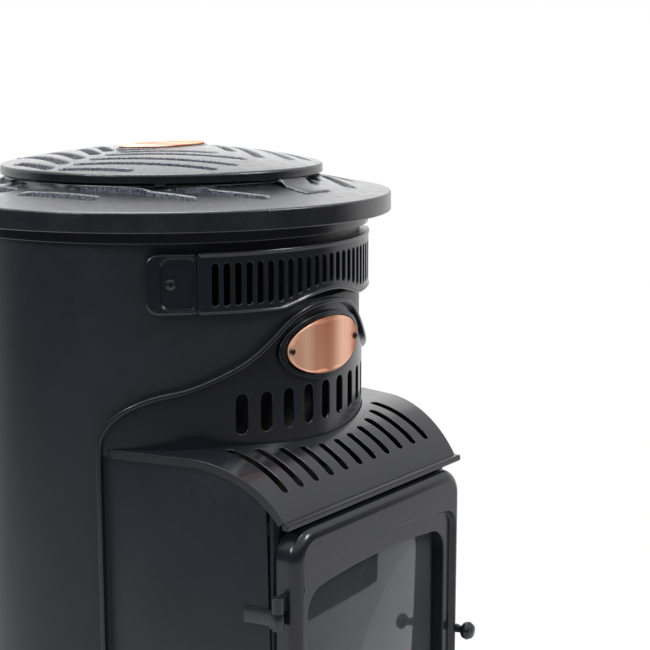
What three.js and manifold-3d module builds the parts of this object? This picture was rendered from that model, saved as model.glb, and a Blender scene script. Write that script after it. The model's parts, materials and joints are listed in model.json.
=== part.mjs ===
// Portable cabinet heater in the style of a potbelly stove, built as separate pieces.
// Millimetres, +Z up. The front faces -Y and +X is to the right when seen from the front.
// Everything is drawn about the drum's axis; the whole group is then moved so that the
// middle of the footprint is at the origin, with the castors standing on Z = 0.
// Angles round the drum are in degrees from the front, positive towards +X.

import * as THREE from 'three';
import { mergeVertices } from 'three/addons/utils/BufferGeometryUtils.js';
import Module from 'manifold-3d';

const wasm = await Module();
wasm.setup();

// ---------------------------------------------------------------- driving dimensions

// Shared
const FIT = 0.3;                  // gap between pieces that meet
const RUN = 0.3;                  // radial clearance of a turning or sliding fit
const SHEET = 1.6;                // sheet steel of the drum, walls and hood
const SLACK = 1;                  // how far a cutter runs past the face it cuts

// Drum
const DRUM_R = 211;
const DRUM_H = 674;
const DRUM_SIDES = 48;
const DRUM_MOUTH_ANGLE = 50;      // half angle of the opening for the firebox
const DRUM_SILL = 18;             // drum wall left below its openings

// Castors and base
const WHEEL_R = 22;
const WHEEL_W = 14;
const WHEEL_EDGE = 3;
const AXLE_R = 3;
const CASTOR_TRAIL = 14;
const CASTOR_H = 61.7;            // floor to the top of the fork
const FORK_GAP = 1;               // between a wheel and each leg
const FORK_LEG = 2;
const FORK_HALF = 11;
const STEM_R = 5;
const STEM_HEAD_R = 9;
const STEM_HEAD_H = 3;
const CASTOR_REAR = [0.592, 0.498];     // rear castor: shares of the drum's radius across and back
const CASTOR_FRONT = [0.531, 0.948];    // front castor: shares of it across and forward
const BASE_T = 3;
const BASE_OUTSET = 10;           // base edge outside the drum and walls
const BASE_TUCK = 30;             // the housing's plan runs this far back into the drum's
const PLINTH_T = 2;
const PLINTH_LIFT = 16;           // floor to the plinth's lower edge

// Collar and ring plate
const COLLAR_PROUD = 9.5;         // collar outside the drum
const COLLAR_R = DRUM_R + COLLAR_PROUD;
const COLLAR_H = 26;
const BOLT_R = 3.2;
const BOLT_HEAD_H = 3;
const BOLT_LENGTH = 6;
const BOLT_ANGLE = -5;            // first of the four collar bolts
const BOLT_DROP = 16.5;           // below the ring plate's upper rim
const BOLT_COUNT = 4;
const RIM_OVERHANG = 24.5;        // rim outside the collar
const RING_R = COLLAR_R + RIM_OVERHANG;
const RING_RIM_H = 20;
const RING_RIM_T = 8;
const RING_LAND_T = 6.5;          // casting over the collar
const RING_FACE_W = 87;           // from the hole to the rim
const RING_HOLE_R = RING_R - RING_FACE_W;
const RING_BEAD_W = 13;
const RING_BEAD_R = RING_HOLE_R + RING_BEAD_W;        // outer foot of the bead round the hole
const RING_BEAD_H = 17;           // bead above the rim's upper edge
const RING_APRON_W = 30;          // gently sloping border inside the rim
const RING_CREASE_R = RING_R - RING_APRON_W;
const RING_CREASE_H = 5.5;
const RING_FOOT_H = 14;           // casting beside the bead, above the rim
const RING_SLOT_W = 16;
// One side's slots, front half and rear half: start and end across and away from the middle,
// as shares of the rim's radius. The front ones begin a little behind the middle.
const RING_SLOTS_FRONT = [
  [[0.792, -0.029], [0.759, 0.290]],
  [[0.669, 0.167], [0.547, 0.608]],
  [[0.465, 0.522], [0.302, 0.780]],
];
const RING_SLOTS_REAR = [
  [[0.755, 0.171], [0.686, 0.400]],
  [[0.604, 0.343], [0.457, 0.584]],
  [[0.351, 0.608], [0.229, 0.759]],
];
const NOTCH_W = 44;
const NOTCH_INSET = 2;            // notch from the bead
const NOTCH_EDGE = 9;             // notch from the crease
const NOTCH_NEAR = RING_BEAD_R + NOTCH_INSET;
const NOTCH_FAR = RING_CREASE_R - NOTCH_EDGE;

// Lid
const LID_LAP = 13.5;             // lid over the ring plate's hole
const LID_R = RING_HOLE_R + LID_LAP;
const LID_T = 7.5;
const LID_CROWN = 48;             // crown above the rim's upper edge
const LID_DROP = 18.5;            // fall of the dome from crown to edge
const LID_EDGE_H = 20.4;          // lower edge above the rim's upper edge
const LID_SIDES = 36;
const LID_SLOT_W = 12;
const LID_SLOTS = [               // one quarter: start and end as shares of the lid's radius
  [[0.414, 0.070], [0.093, 0.472]],
  [[0.536, 0.064], [0.087, 0.694]],
  [[0.671, 0.064], [0.280, 0.776]],
  [[0.805, 0.064], [0.461, 0.770]],
  [[0.927, 0.064], [0.805, 0.437]],
];
const LID_PAD_INSET = 8.5;
const LID_PAD_R = LID_R - LID_PAD_INSET;
const LID_PAD_SIZE = 5;
const LID_PAD_ANGLES = [50, 180, 310];
const LID_PIVOT_OUT = 14.5;       // hinge pin behind the lid's edge
const LID_PIVOT_BACK = LID_R + LID_PIVOT_OUT;
const LID_PIVOT_H = 22;
const LID_PIN_R = 3;
const LID_LUG_IN = 22;
const LID_LUG_W = 10;
const LID_LUG_R = 6.5;
const TONGUE_T = 2.7;
const TONGUE_GAP = 2;

// Oval badges
const BADGE_HALF_W = 61;
const BADGE_HALF_H = 28.5;
const BADGE_T = 1.6;
const BADGE_BEAD = 0.6;
const BADGE_STEP = 74;            // badge's centre below the band's
const BADGE_SCREW_REACH = 53.4;   // badge's screws from its middle, round the drum
const BADGE_SCREW_ANGLE = THREE.MathUtils.radToDeg(BADGE_SCREW_REACH / DRUM_R);
const BADGE_PLATE_W = 69.7;       // half width of the black plate behind the badge
const BADGE_PLATE_H = 34;
const BADGE_PLATE_T = 2;
const BADGE_PLATE_RIM = 1.4;
const LID_RIM_W = 3.5;
const OVAL_STEPS = 20;

// Screws
const SCREW_R = 2;
const SCREW_HEAD_R = 5.2;
const SCREW_HEAD_H = 2.2;
const SMALL_HEAD_R = 3.2;
const SCREW_CROSS_W = 1.2;

// Louvre band
const BAND_GAP = 7.7;             // collar to band
const BAND_H = 62;
const BAND_PROUD = 11;            // band outside the drum
const BAND_R = DRUM_R + BAND_PROUD;
const BAND_T = 1.6;
const BAND_ANGLE = 41;            // half angle of the slotted middle
const BAND_END_ANGLE = 54;
const BAND_BEAD_W = 4.5;
const BAND_BEAD_H = 1;
const BAND_COLUMNS = 20;
const TAB_STEP = 2;               // tabs inside the band's bead
const TAB_R = BAND_R - TAB_STEP;
const TAB_CORNER = 13;
const TAB_POCKET = 2.5;
const TAB_BORDER = 5.5;
const TAB_SCREW_ANGLE = 47.5;
const ARCH_H = 12.4;
const ARCH_ANGLE = 17;
const BAND_SLOTS = 25;
const BAND_SLOT_PITCH = 3.03;
const BAND_SLOT_W = 6.6;
const BAND_SLOT_H = 42;
const BAND_SLOT_DROP = 1.5;       // slot middle below the band's middle
const BAND_SLOT_FOOT = 8.7;       // band left under a slot

// Apron sheet with its raised sweeping edge, heights from the hood's flat top
const APRON_PROUD = 3;            // apron sheet outside the drum
const APRON_EDGE_PROUD = 5;       // raised edge outside the sheet
const APRON_R = DRUM_R + APRON_PROUD;
const APRON_EDGE_R = APRON_R + APRON_EDGE_PROUD;
const APRON_EDGE_W = 5;
const APRON_LAP = 7;              // apron sheet below the hood's flat top
const APRON_STEPS = 30;
const APRON_FACET = 8.5;          // most a flat of it spans, so that it clears the drum
const HOOD_STEP = 88;             // hood's flat top below the badge's centre
const APRON_OVER = 46.7;          // top of its edge above the badge's centre
const APRON_RISE = HOOD_STEP + APRON_OVER;
const APRON_CURVE = [             // left half of the edge: angle, share of the rise
  [67.5, 0.061], [64.5, 0.204], [59.2, 0.318], [52, 0.397], [44, 0.444], [36, 0.523],
  [27.5, 0.633], [20.5, 0.776], [14.5, 0.906], [8, 0.976], [0, 1],
];
const VENTS = 9;
const VENT_PITCH = 7.241;
const VENT_W = 13;
const VENT_H = 40;
const VENT_RISE = 30.5;           // vent centre above the hood's flat top

// Firebox housing and hood
const HOOD_TUCK = 33;             // the flat top ends this far inside the drum's front
const HOOD_FLAT = DRUM_R - HOOD_TUCK;
const HOOD_BEND_R = 120;
const HOOD_SWEEP = 55.2;
const HOOD_STEPS = 8;
const HOOD_SPREAD = THREE.MathUtils.degToRad(65.35);    // its rear corners on the apron, from the front
const HOOD_REAR = APRON_R * Math.cos(HOOD_SPREAD);      // rear edge of the hood and walls
const HOOD_REAR_W = APRON_R * Math.sin(HOOD_SPREAD);    // half width there
const HOOD_TAPER = 40;            // each side comes in by this much from there to the lip
const HOOD_FRONT_W = HOOD_REAR_W - HOOD_TAPER;
const HOOD_SKIRT = 8.5;
const LIP_REACH = 6;
const LIP_H = 6.6;
const LIP_OVER = 2.5;
const HOOD_SLOTS = 11;
const HOOD_SLOT_PITCH = 25.3;
const HOOD_SLOT_W = 9.2;
const HOOD_SLOT_INSET = 17;       // slots end this far behind the hood's front
const HOOD_SLOT_GAP = 11;         // slots start this far in front of the apron

// Front frame and door
const FRAME_INSET = 14.5;         // frame's front face behind the hood's front
const FRAME_T = 4;
const FRAME_MARGIN = 23;          // frame inside the door's edge
const DOOR_INSET = 3.5;           // door inside the hood's width at the lip
const DOOR_HALF_W = HOOD_FRONT_W - DOOR_INSET;
const DOOR_T = 25.7;
const DOOR_CORNER = 30;
const DOOR_ROUND = 12;
const DOOR_GAP = 3.4;             // lip to door
const DOOR_LIFT = 22;             // base to door
const RECESS_BORDER = 13;
const RECESS_HALF_W = DOOR_HALF_W - RECESS_BORDER;
const RECESS_DEPTH = 6;
const RECESS_TOP = 37;            // top of the recess's arch below the door's top
const RECESS_ARCH = 11;
const RECESS_CORNER = 3;
const WINDOW_BORDER = 26;
const WINDOW_HALF_W = DOOR_HALF_W - WINDOW_BORDER;
const WINDOW_TOP = 58;
const WINDOW_ARCH = 8;
const WINDOW_CORNER = 24;
const GLASS_T = 4;
const GLASS_LAP = 7;
const RETAINER_T = 1;
const RETAINER_W = 9;
const HINGE_R = 6;
const HINGE_PIN_R = 3;
const HINGE_H = 16;               // length of one knuckle
const HINGE_SIDE = 10.5;          // hinge axis outside the door's edge
const HINGE_AHEAD = 11;           // hinge axis in front of the frame
const HINGE_OUT = DOOR_HALF_W + HINGE_SIDE;
const HINGE_INSET = 60;           // hinge from the door's upper or lower edge
const KNOB_R = 10;
const KNOB_REACH = 22;
const KNOB_INSET = 8.5;           // knob's axis inside the door's edge

// Rear door
const BEHIND = 180;               // straight behind, in degrees from the front
const REAR_ANGLE = 57;            // half angle of the opening behind
const REAR_TOP_GAP = 77;          // drum wall left above the opening
const REAR_LAP = 3;               // degrees that the rear door laps the drum
const REAR_LAP_H = 8;
const REAR_VENTS = 7;
const REAR_VENT_PITCH = 12;
const REAR_VENT_W = 7;
const REAR_VENT_H = 60;
const REAR_HINGE_PROUD = 8;
const REAR_HINGE_R = DRUM_R + REAR_HINGE_PROUD;
const REAR_HINGE_KNUCKLE = 4.5;
const REAR_HINGE_STEP = 1.5;      // degrees from the rear door's edge to its hinges
const REAR_LEAF_SPAN = 6;         // degrees that a hinge leaf covers
const REAR_PIN_R = 2;
const REAR_HINGE_INSET = 90;
const HANDLE_ROD_R = 5;
const HANDLE_H = 110;
const HANDLE_REACH = 34;
const HANDLE_ANGLE = 222;

// Inside
const SHIELD_INSET = 84;          // heat shield behind the drum's front
const SHIELD_FORWARD = DRUM_R - SHIELD_INSET;
const SHIELD_DROP = 70.8;         // heat shield's top below the control panel
const SHIELD_GAP = 10;            // heat shield to the liner
const LINER_INSET = 17;           // liner inside the door's half width
const LINER_HALF_W = DOOR_HALF_W - LINER_INSET;
const LINER_BACK = SHIELD_FORWARD + SHIELD_GAP;
const LINER_DROP = 24;            // liner's top below the hood's lip
const LINER_LIFT = 20;
const FLUE_INSET = 34;            // flue opening inside the liner's half width
const LINER_FLUE_W = 2 * (LINER_HALF_W - FLUE_INSET);
const LINER_FLUE_D = 60;
const TRAY_INSET = 24;            // tray inside the liner's half width
const TRAY_W = 2 * (LINER_HALF_W - TRAY_INSET);
const TRAY_D = 84;
const TRAY_H = 24;
const TRAY_RECESS = 5;
const TRAY_WALL = 2 * SHEET;
const EMBER_T = 9;
const EMBER_GROOVES = 5;
const EMBER_GROOVE_W = 5;
const LOG_BACK_R = 18.5;
const LOG_FRONT_R = 13;
const LOG_SPREAD = 20;            // logs in front of or behind the tray's middle
const LOGS = [                    // length and place across as shares of the tray, radius, forward, turn
  ['log_back', 0.82, 0, LOG_BACK_R, -LOG_SPREAD - 1, 0],
  ['log_left', 0.47, -0.255, LOG_FRONT_R, LOG_SPREAD, 6],
  ['log_right', 0.45, 0.259, LOG_FRONT_R, LOG_SPREAD, -8],
];
const PILOT_GAP = 6;              // pilot's post from the tray
const PILOT_T = 2;
const PILOT_D = 20;
const PILOT_REACH = 20;           // pilot's shelf over the tray's end
const JET_R = 4;
const JET_H = 16;
const ELECTRODE_R = 1.6;
const ELECTRODE_H = 24;
const PANEL_DROP = 50;            // control panel below the ring plate's upper rim
const PANEL_FRONT = -20;          // panel's front edge, forward of the axis
const VALVE_W = 46;
const VALVE_D = 36;
const VALVE_H = 32;
const INLET_R = 4;
const INLET_BARB_R = 5.2;
const INLET_UNION_R = 7;
const INLET_L = 24;
const CONTROL_ACROSS = 60;        // tap to the left and igniter to the right
const CONTROL_BACK = 95;
const SPINDLE_R = 4;
const SPINDLE_UP = 16;            // spindle above the panel
const SPINDLE_DOWN = 20;          // spindle inside the tap's body
const PUSH_TRAVEL = 3;
const TAP_KNOB_R = 22;
const TAP_KNOB_H = 22;
const TAP_GRIP_W = 9;
const TAP_GRIP_H = 6;
const IGNITER_R = 11;
const IGNITER_H = 34;
const IGNITER_CAP_R = 9;
const IGNITER_CAP_H = 6;
const IGNITER_STEM_R = 5;
const IGNITER_TRAVEL = 4;
const PIPE_R = 4;
const PIPE_SIDES = 8;
const PIPE_STEPS = 40;
const PIPE_LEAD = 8;              // straight run before the shield
const PIPE_UPPER = [              // its way down: shares of the drum's radius, height from the tap
  [-0.675, 0.36, 0], [-0.855, 0.142, -20], [-0.9, -0.095, -70], [-0.882, -0.19, -160],
];
const PIPE_LOWER = [              // the same with heights from the hole in the shield
  [-0.882, -0.19, 120], [-0.855, -0.284, 30], [-0.72, -0.45, 0],
];

// ---------------------------------------------------------------- places that follow

const BASE_BOTTOM = CASTOR_H + FIT;
const BASE_TOP = BASE_BOTTOM + BASE_T;
const FLOOR_Z = BASE_TOP + FIT;                       // what stands on the base starts here
const DRUM_TOP = FLOOR_Z + DRUM_H;
const RIM_Z = DRUM_TOP + FIT + RING_LAND_T;           // upper edge of the ring plate's rim
const BAND_Z = DRUM_TOP - COLLAR_H - BAND_GAP - BAND_H / 2;
const BADGE_Z = BAND_Z - BADGE_STEP;
const HOOD_Z = BADGE_Z - HOOD_STEP;
const PANEL_Z = RIM_Z - PANEL_DROP;
const DRUM_IN = DRUM_R - SHEET;
const APRON_IN = DRUM_R / Math.cos(THREE.MathUtils.degToRad(APRON_FACET / 2)) + FIT;
const DRUM_CLEAR = DRUM_IN * Math.cos(Math.PI / DRUM_SIDES) - FIT;   // what fits inside the drum's flats
const SWEEP_SIN = Math.sin(THREE.MathUtils.degToRad(HOOD_SWEEP));
const SWEEP_COS = Math.cos(THREE.MathUtils.degToRad(HOOD_SWEEP));
const HOOD_FRONT = HOOD_FLAT + HOOD_BEND_R * SWEEP_SIN;
const LIP_Z = HOOD_Z - HOOD_BEND_R * (1 - SWEEP_COS);
const FRAME_FRONT = HOOD_FRONT - FRAME_INSET;         // front face of the frame, forward of the axis
const HINGE_FORWARD = FRAME_FRONT + HINGE_AHEAD;
const DOOR_TOP = LIP_Z - LIP_H - DOOR_GAP;
const DOOR_BOTTOM = BASE_TOP + DOOR_LIFT;
const DOOR_BACK = FRAME_FRONT + FIT;
const DOOR_FRONT = DOOR_BACK + DOOR_T;
const FRAME_BACK = FRAME_FRONT - FRAME_T;
const FRONT_REACH = DOOR_FRONT + KNOB_REACH;
const LINER_Z = BASE_TOP + LINER_LIFT;
const TRAY_Y = (LINER_BACK + FRAME_BACK) / 2;
const TRAY_Z = LINER_Z + SHEET + FIT;
const EMBER_Z = TRAY_Z + TRAY_H - TRAY_RECESS + FIT;

// ---------------------------------------------------------------- small tools

const radians = THREE.MathUtils.degToRad;
const WELD = 1e-3;                // vertices closer than this are one
const ARC_STEPS = 2;              // a slot's round end has twice as many sides
const HOLE_STEPS = 5;             // a round hole has twice as many sides

// A point at an angle round the drum.
function polar(angle, radius, z) {
  const a = radians(angle);
  return new THREE.Vector3(radius * Math.sin(a), -radius * Math.cos(a), z);
}

// A closed three.js geometry as a solid that can be joined and cut.
function toSolid(geometry) {
  const bare = geometry.clone();
  bare.deleteAttribute('normal');
  bare.deleteAttribute('uv');
  const welded = mergeVertices(bare, WELD);
  const points = welded.attributes.position;
  const corners = welded.index.array;
  const triangles = [];
  const [a, b, c] = [new THREE.Vector3(), new THREE.Vector3(), new THREE.Vector3()];
  let volume = 0;
  for (let i = 0; i < corners.length; i += 3) {
    const [p, q, r] = corners.slice(i, i + 3);
    if (p === q || q === r || r === p) continue;
    triangles.push(p, q, r);
    a.fromBufferAttribute(points, p);
    b.fromBufferAttribute(points, q);
    c.fromBufferAttribute(points, r);
    volume += a.dot(b.cross(c));
  }
  if (volume < 0) triangles.reverse();
  return new wasm.Manifold(new wasm.Mesh({
    numProp: 3,
    vertProperties: Float32Array.from(points.array),
    triVerts: Uint32Array.from(triangles),
  }));
}

// A solid back as a three.js geometry.
function toGeometry(solid) {
  const { vertProperties, triVerts } = solid.getMesh();
  const geometry = new THREE.BufferGeometry();
  geometry.setAttribute('position', new THREE.BufferAttribute(vertProperties, 3));
  geometry.setIndex(new THREE.BufferAttribute(triVerts, 1));
  geometry.computeVertexNormals();
  return geometry;
}

const join = (...solids) => solids.reduce((sum, solid) => sum.add(solid));
const cut = (body, ...cutters) => cutters.reduce((rest, cutter) => rest.subtract(cutter), body);

function outline(points) {
  return new THREE.Shape(points.map(([x, y]) => new THREE.Vector2(x, y)));
}

function box(left, right, front, back, low, high) {
  const geometry = new THREE.BoxGeometry(right - left, back - front, high - low);
  geometry.translate((left + right) / 2, (front + back) / 2, (low + high) / 2);
  return toSolid(geometry);
}

// A plan outline raised from low to high.
function raised(shape, low, high) {
  const geometry = new THREE.ExtrudeGeometry(shape, { depth: high - low, bevelEnabled: false });
  geometry.translate(0, 0, low);
  return toSolid(geometry);
}

// A side outline, given as [y, z], pulled across from left to right.
function across(points, left, right) {
  const geometry = new THREE.ExtrudeGeometry(outline(points), { depth: right - left, bevelEnabled: false });
  geometry.translate(0, 0, left);
  geometry.applyMatrix4(new THREE.Matrix4().set(0, 0, 1, 0, 1, 0, 0, 0, 0, 1, 0, 0, 0, 0, 0, 1));
  return toSolid(geometry);
}

// A front outline, drawn in x and z, pulled back from one distance forward to another.
function inward(shape, front, back, options = {}) {
  const depth = front - back;
  const settings = { depth, bevelEnabled: false, curveSegments: 6, ...options };
  const geometry = new THREE.ExtrudeGeometry(shape, settings);
  geometry.rotateX(Math.PI / 2);
  geometry.translate(0, -back, 0);
  return toSolid(geometry);
}

// A round hole through an upright plate, from front to back.
function pipeHole(front, back) {
  const shape = new THREE.Shape();
  shape.absarc(PIPE_HOLE_X, PIPE_HOLE_Z, PIPE_R + FIT, 0, 2 * Math.PI);
  return inward(shape, front, back);
}

// A profile of [radius, z] turned about an upright axis.
function turned(profile, sides, x = 0, y = 0) {
  const geometry = new THREE.LatheGeometry(profile.map(([r, z]) => new THREE.Vector2(r, z)), sides);
  geometry.rotateX(Math.PI / 2);
  geometry.translate(x, y, 0);
  return toSolid(geometry);
}

function tube(inner, outer, low, high, sides) {
  return turned([[inner, low], [outer, low], [outer, high], [inner, high], [inner, low]], sides);
}

function rod(radius, low, high, sides = 12, x = 0, y = 0) {
  return turned([[0, low], [radius, low], [radius, high], [0, high]], sides, x, y);
}

// A round-ended slot, drawn standing along Y.
function slotShape(width, length) {
  const radius = width / 2;
  const reach = length / 2 - radius;
  const shape = new THREE.Shape();
  shape.absarc(0, reach, radius, 0, Math.PI);
  shape.absarc(0, -reach, radius, Math.PI, 2 * Math.PI);
  shape.closePath();
  return shape;
}

// Stands a form, drawn with its outside towards +Z, on the drum.
function drumFrame(angle, radius, z) {
  const matrix = new THREE.Matrix4();
  matrix.makeBasis(polar(angle + 90, 1, 0), new THREE.Vector3(0, 0, 1), polar(angle, 1, 0));
  return matrix.setPosition(polar(angle, radius, z));
}

// A cutter through the drum, from one radius to another.
function drumCutter(shape, angle, z, inner, outer, curveSegments = ARC_STEPS) {
  const settings = { depth: outer - inner, bevelEnabled: false, curveSegments };
  const geometry = new THREE.ExtrudeGeometry(shape, settings);
  geometry.applyMatrix4(drumFrame(angle, inner, z));
  return toSolid(geometry);
}

function roundShape(radius) {
  const shape = new THREE.Shape();
  return shape.absarc(0, 0, radius, 0, 2 * Math.PI);
}

// A wedge about the axis that opens a window in the drum.
function wedge(angle, halfAngle, low, high) {
  const far = DRUM_R * 3;
  const plan = [-halfAngle, -halfAngle / 2, 0, halfAngle / 2, halfAngle].map((turn) => {
    const corner = polar(angle + turn, far, 0);
    return [corner.x, corner.y];
  });
  return raised(outline([[0, 0], ...plan]), low, high);
}

// Triangles over one ring's outline, wound as the ring runs.
function endFace(contour, first) {
  const corners = THREE.ShapeUtils.triangulateShape(contour, []).flat().map((corner) => corner + first);
  return THREE.ShapeUtils.isClockWise(contour) ? corners.reverse() : corners;
}

// Joins rings of points into one closed skin; flatten gives the end faces' outline.
function loft(rings, flatten) {
  const count = rings[0].length;
  const last = (rings.length - 1) * count;
  const index = [];
  for (let i = 0; i < rings.length - 1; i++) {
    for (let j = 0; j < count; j++) {
      const [a, b] = [i * count + j, i * count + (j + 1) % count];
      index.push(a, b, b + count, a, b + count, a + count);
    }
  }
  index.push(...endFace(rings[0].map(flatten), 0).reverse());
  index.push(...endFace(rings.at(-1).map(flatten), last));
  const geometry = new THREE.BufferGeometry().setFromPoints(rings.flat());
  geometry.setIndex(index);
  return toSolid(geometry);
}

const byHeight = (point) => new THREE.Vector2(Math.hypot(point.x, point.y), point.z);

// An oval body: profile entries are [inset from the edge, height, share of what is left].
function ovalBody(profile, halfWidth, halfHeight, place) {
  const points = [];
  const index = [];
  for (const [inset, height, share = 1] of profile) {
    for (let j = 0; j < OVAL_STEPS; j++) {
      const turn = 2 * Math.PI * j / OVAL_STEPS;
      const x = (halfWidth - inset) * share * Math.cos(turn);
      const y = (halfHeight - inset) * share * Math.sin(turn);
      points.push(place(x, y, height));
    }
  }
  for (let i = 0; i < profile.length - 1; i++) {
    for (let j = 0; j < OVAL_STEPS; j++) {
      const [a, b] = [i * OVAL_STEPS + j, i * OVAL_STEPS + (j + 1) % OVAL_STEPS];
      index.push(a, b, b + OVAL_STEPS, a, b + OVAL_STEPS, a + OVAL_STEPS);
    }
  }
  const geometry = new THREE.BufferGeometry().setFromPoints(points);
  geometry.setIndex(index);
  return toSolid(geometry);
}

// ---------------------------------------------------------------- materials

function paint(color, roughness, metalness) {
  return new THREE.MeshStandardMaterial({ color, roughness, metalness });
}
const drumBlack = paint(0x25282d, 0.55, 0.3);
const hoodBlack = paint(0x2b2c2f, 0.5, 0.3);
const castBlack = paint(0x35363a, 0.7, 0.4);
const screwBlack = paint(0x15161a, 0.35, 0.7);
const copper = paint(0xcd7d5f, 0.35, 1);
const zinc = paint(0x8d9194, 0.45, 0.8);
const glassTint = paint(0x30343a, 0.05, 0);
const ceramicLog = paint(0x8a6a4d, 0.95, 0);
const ceramicEmber = paint(0x5a4236, 0.95, 0);
const brassYellow = paint(0xb08d4a, 0.35, 0.9);
const plasticBlack = paint(0x1c1c1e, 0.5, 0);
const rubberGrey = paint(0x3a3a3c, 0.8, 0);

// ---------------------------------------------------------------- the scene graph

const stove = new THREE.Group();
const forwardShift = (FRONT_REACH - RING_R) / 2;
stove.position.y = forwardShift;

function add(name, solid, material, parent = stove) {
  const mesh = new THREE.Mesh(toGeometry(solid), material);
  mesh.name = name;
  parent.add(mesh);
  return mesh;
}

// Puts a mesh drawn with its outside towards +Z on the drum.
function standOnDrum(mesh, angle, radius, z) {
  mesh.applyMatrix4(drumFrame(angle, radius, z));
}

// ---------------------------------------------------------------- drum

const REAR_LOW = FLOOR_Z + DRUM_SILL;
const REAR_HIGH = DRUM_TOP - REAR_TOP_GAP;
const BAND_SPREAD = (BAND_SLOTS - 1) / 2 * BAND_SLOT_PITCH + 2;
const VENT_SPREAD = (VENTS - 1) / 2 * VENT_PITCH + 3;
const WINDOW_MARGIN = 4;          // drum windows behind slots are this much taller

function drumShell() {
  const shell = tube(DRUM_IN, DRUM_R, FLOOR_Z, DRUM_TOP, DRUM_SIDES);
  const slotZ = BAND_Z - BAND_SLOT_DROP;
  const ventZ = HOOD_Z + VENT_RISE;
  const bandReach = BAND_SLOT_H / 2 + WINDOW_MARGIN;
  const ventReach = VENT_H / 2 + WINDOW_MARGIN;
  const screwHole = roundShape(SCREW_R + FIT);
  return cut(
    shell,
    wedge(0, DRUM_MOUTH_ANGLE, FLOOR_Z + DRUM_SILL, HOOD_Z - APRON_LAP),
    wedge(BEHIND, REAR_ANGLE, REAR_LOW, REAR_HIGH),
    wedge(0, BAND_SPREAD, slotZ - bandReach, slotZ + bandReach),
    wedge(0, VENT_SPREAD, ventZ - ventReach, ventZ + ventReach),
    drumCutter(screwHole, -TAB_SCREW_ANGLE, BAND_Z, DRUM_IN - SLACK, DRUM_R + SLACK, HOLE_STEPS),
    drumCutter(screwHole, TAB_SCREW_ANGLE, BAND_Z, DRUM_IN - SLACK, DRUM_R + SLACK, HOLE_STEPS),
  );
}
add('drum_shell', drumShell(), drumBlack);

// ---------------------------------------------------------------- apron with its raised edge

// The sweeping edge from the lower left, over the badge, to the lower right.
function apronEdge() {
  const left = APRON_CURVE.map(([angle, share]) =>
    new THREE.Vector2(-radians(angle) * APRON_R, HOOD_Z + share * APRON_RISE));
  const right = left.slice(0, -1).reverse().map((point) => new THREE.Vector2(-point.x, point.y));
  return new THREE.SplineCurve([...left, ...right]).getPoints(APRON_STEPS);
}

const toAngle = (reach) => THREE.MathUtils.radToDeg(reach / APRON_R);

function apronSheet(edge) {
  const low = HOOD_Z - APRON_LAP;
  return loft(edge.map((point) => {
    const angle = toAngle(point.x);
    return [[APRON_IN, low], [APRON_R, low], [APRON_R, point.y], [APRON_IN, point.y]]
      .map(([r, z]) => polar(angle, r, z));
  }), byHeight);
}

function apronStrip(edge) {
  const start = new THREE.Vector2(edge[0].x, FLOOR_Z);
  const end = new THREE.Vector2(-edge[0].x, FLOOR_Z);
  const path = [start, ...edge, end];
  const rings = path.map((point, i) => {
    const before = path[Math.max(i - 1, 0)];
    const after = path[Math.min(i + 1, path.length - 1)];
    const along = after.clone().sub(before).normalize();
    const inside = point.clone().add(new THREE.Vector2(along.y, -along.x).multiplyScalar(APRON_EDGE_W));
    return [[point, APRON_IN], [point, APRON_EDGE_R], [inside, APRON_EDGE_R], [inside, APRON_IN]]
      .map(([spot, r]) => polar(toAngle(spot.x), r, spot.y));
  });
  return loft(rings, (point) => {
    const turn = Math.atan2(point.x, -point.y);
    return new THREE.Vector2(turn * APRON_R, Math.hypot(point.x, point.y));
  });
}

function apronPanel() {
  const edge = apronEdge();
  const body = join(apronSheet(edge), apronStrip(edge));
  const vents = [];
  for (let i = 0; i < VENTS; i++) {
    const angle = (i - (VENTS - 1) / 2) * VENT_PITCH;
    const shape = slotShape(VENT_W, VENT_H);
    vents.push(drumCutter(shape, angle, HOOD_Z + VENT_RISE, DRUM_R - SLACK, APRON_R + SLACK));
  }
  return cut(body, ...vents);
}
add('apron_panel', apronPanel(), hoodBlack);

// ---------------------------------------------------------------- badges

const onDrum = (radius, z) => (x, y, height) =>
  polar(THREE.MathUtils.radToDeg(x / radius), radius + height, z + y);
const flat = (z) => (x, y, height) => new THREE.Vector3(x, y, z + height);
const OVAL_SHARE = 0.35;          // spacing of the rings inside an oval plate's rim
const OVAL_SAG = (BADGE_PLATE_W * OVAL_SHARE) ** 2 / (8 * APRON_R);    // its flats fall this far inside
const PLATE_R = APRON_R + FIT + OVAL_SAG;
const FRONT_BADGE_R = PLATE_R + BADGE_PLATE_T + FIT + OVAL_SAG;

// An even plate with a raised rim of the given width round its face.
function ovalPlate(thickness, rimHeight, rimWidth, halfWidth, halfHeight, place) {
  const step = rimWidth / 4;
  const face = thickness;
  const top = thickness + rimHeight;
  return ovalBody([
    [rimWidth, 0, 0], [rimWidth, 0, OVAL_SHARE], [rimWidth, 0, 2 * OVAL_SHARE], [0, 0],
    [0, face], [step, top], [rimWidth - step, top], [rimWidth, face],
    [rimWidth, face, 2 * OVAL_SHARE], [rimWidth, face, OVAL_SHARE], [rimWidth, face, 0],
  ], halfWidth, halfHeight, place);
}

function badgeHoles(inner, outer) {
  const hole = roundShape(SCREW_R + FIT);
  return [-BADGE_SCREW_ANGLE, BADGE_SCREW_ANGLE]
    .map((angle) => drumCutter(hole, angle, BADGE_Z, inner, outer, HOLE_STEPS));
}

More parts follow.
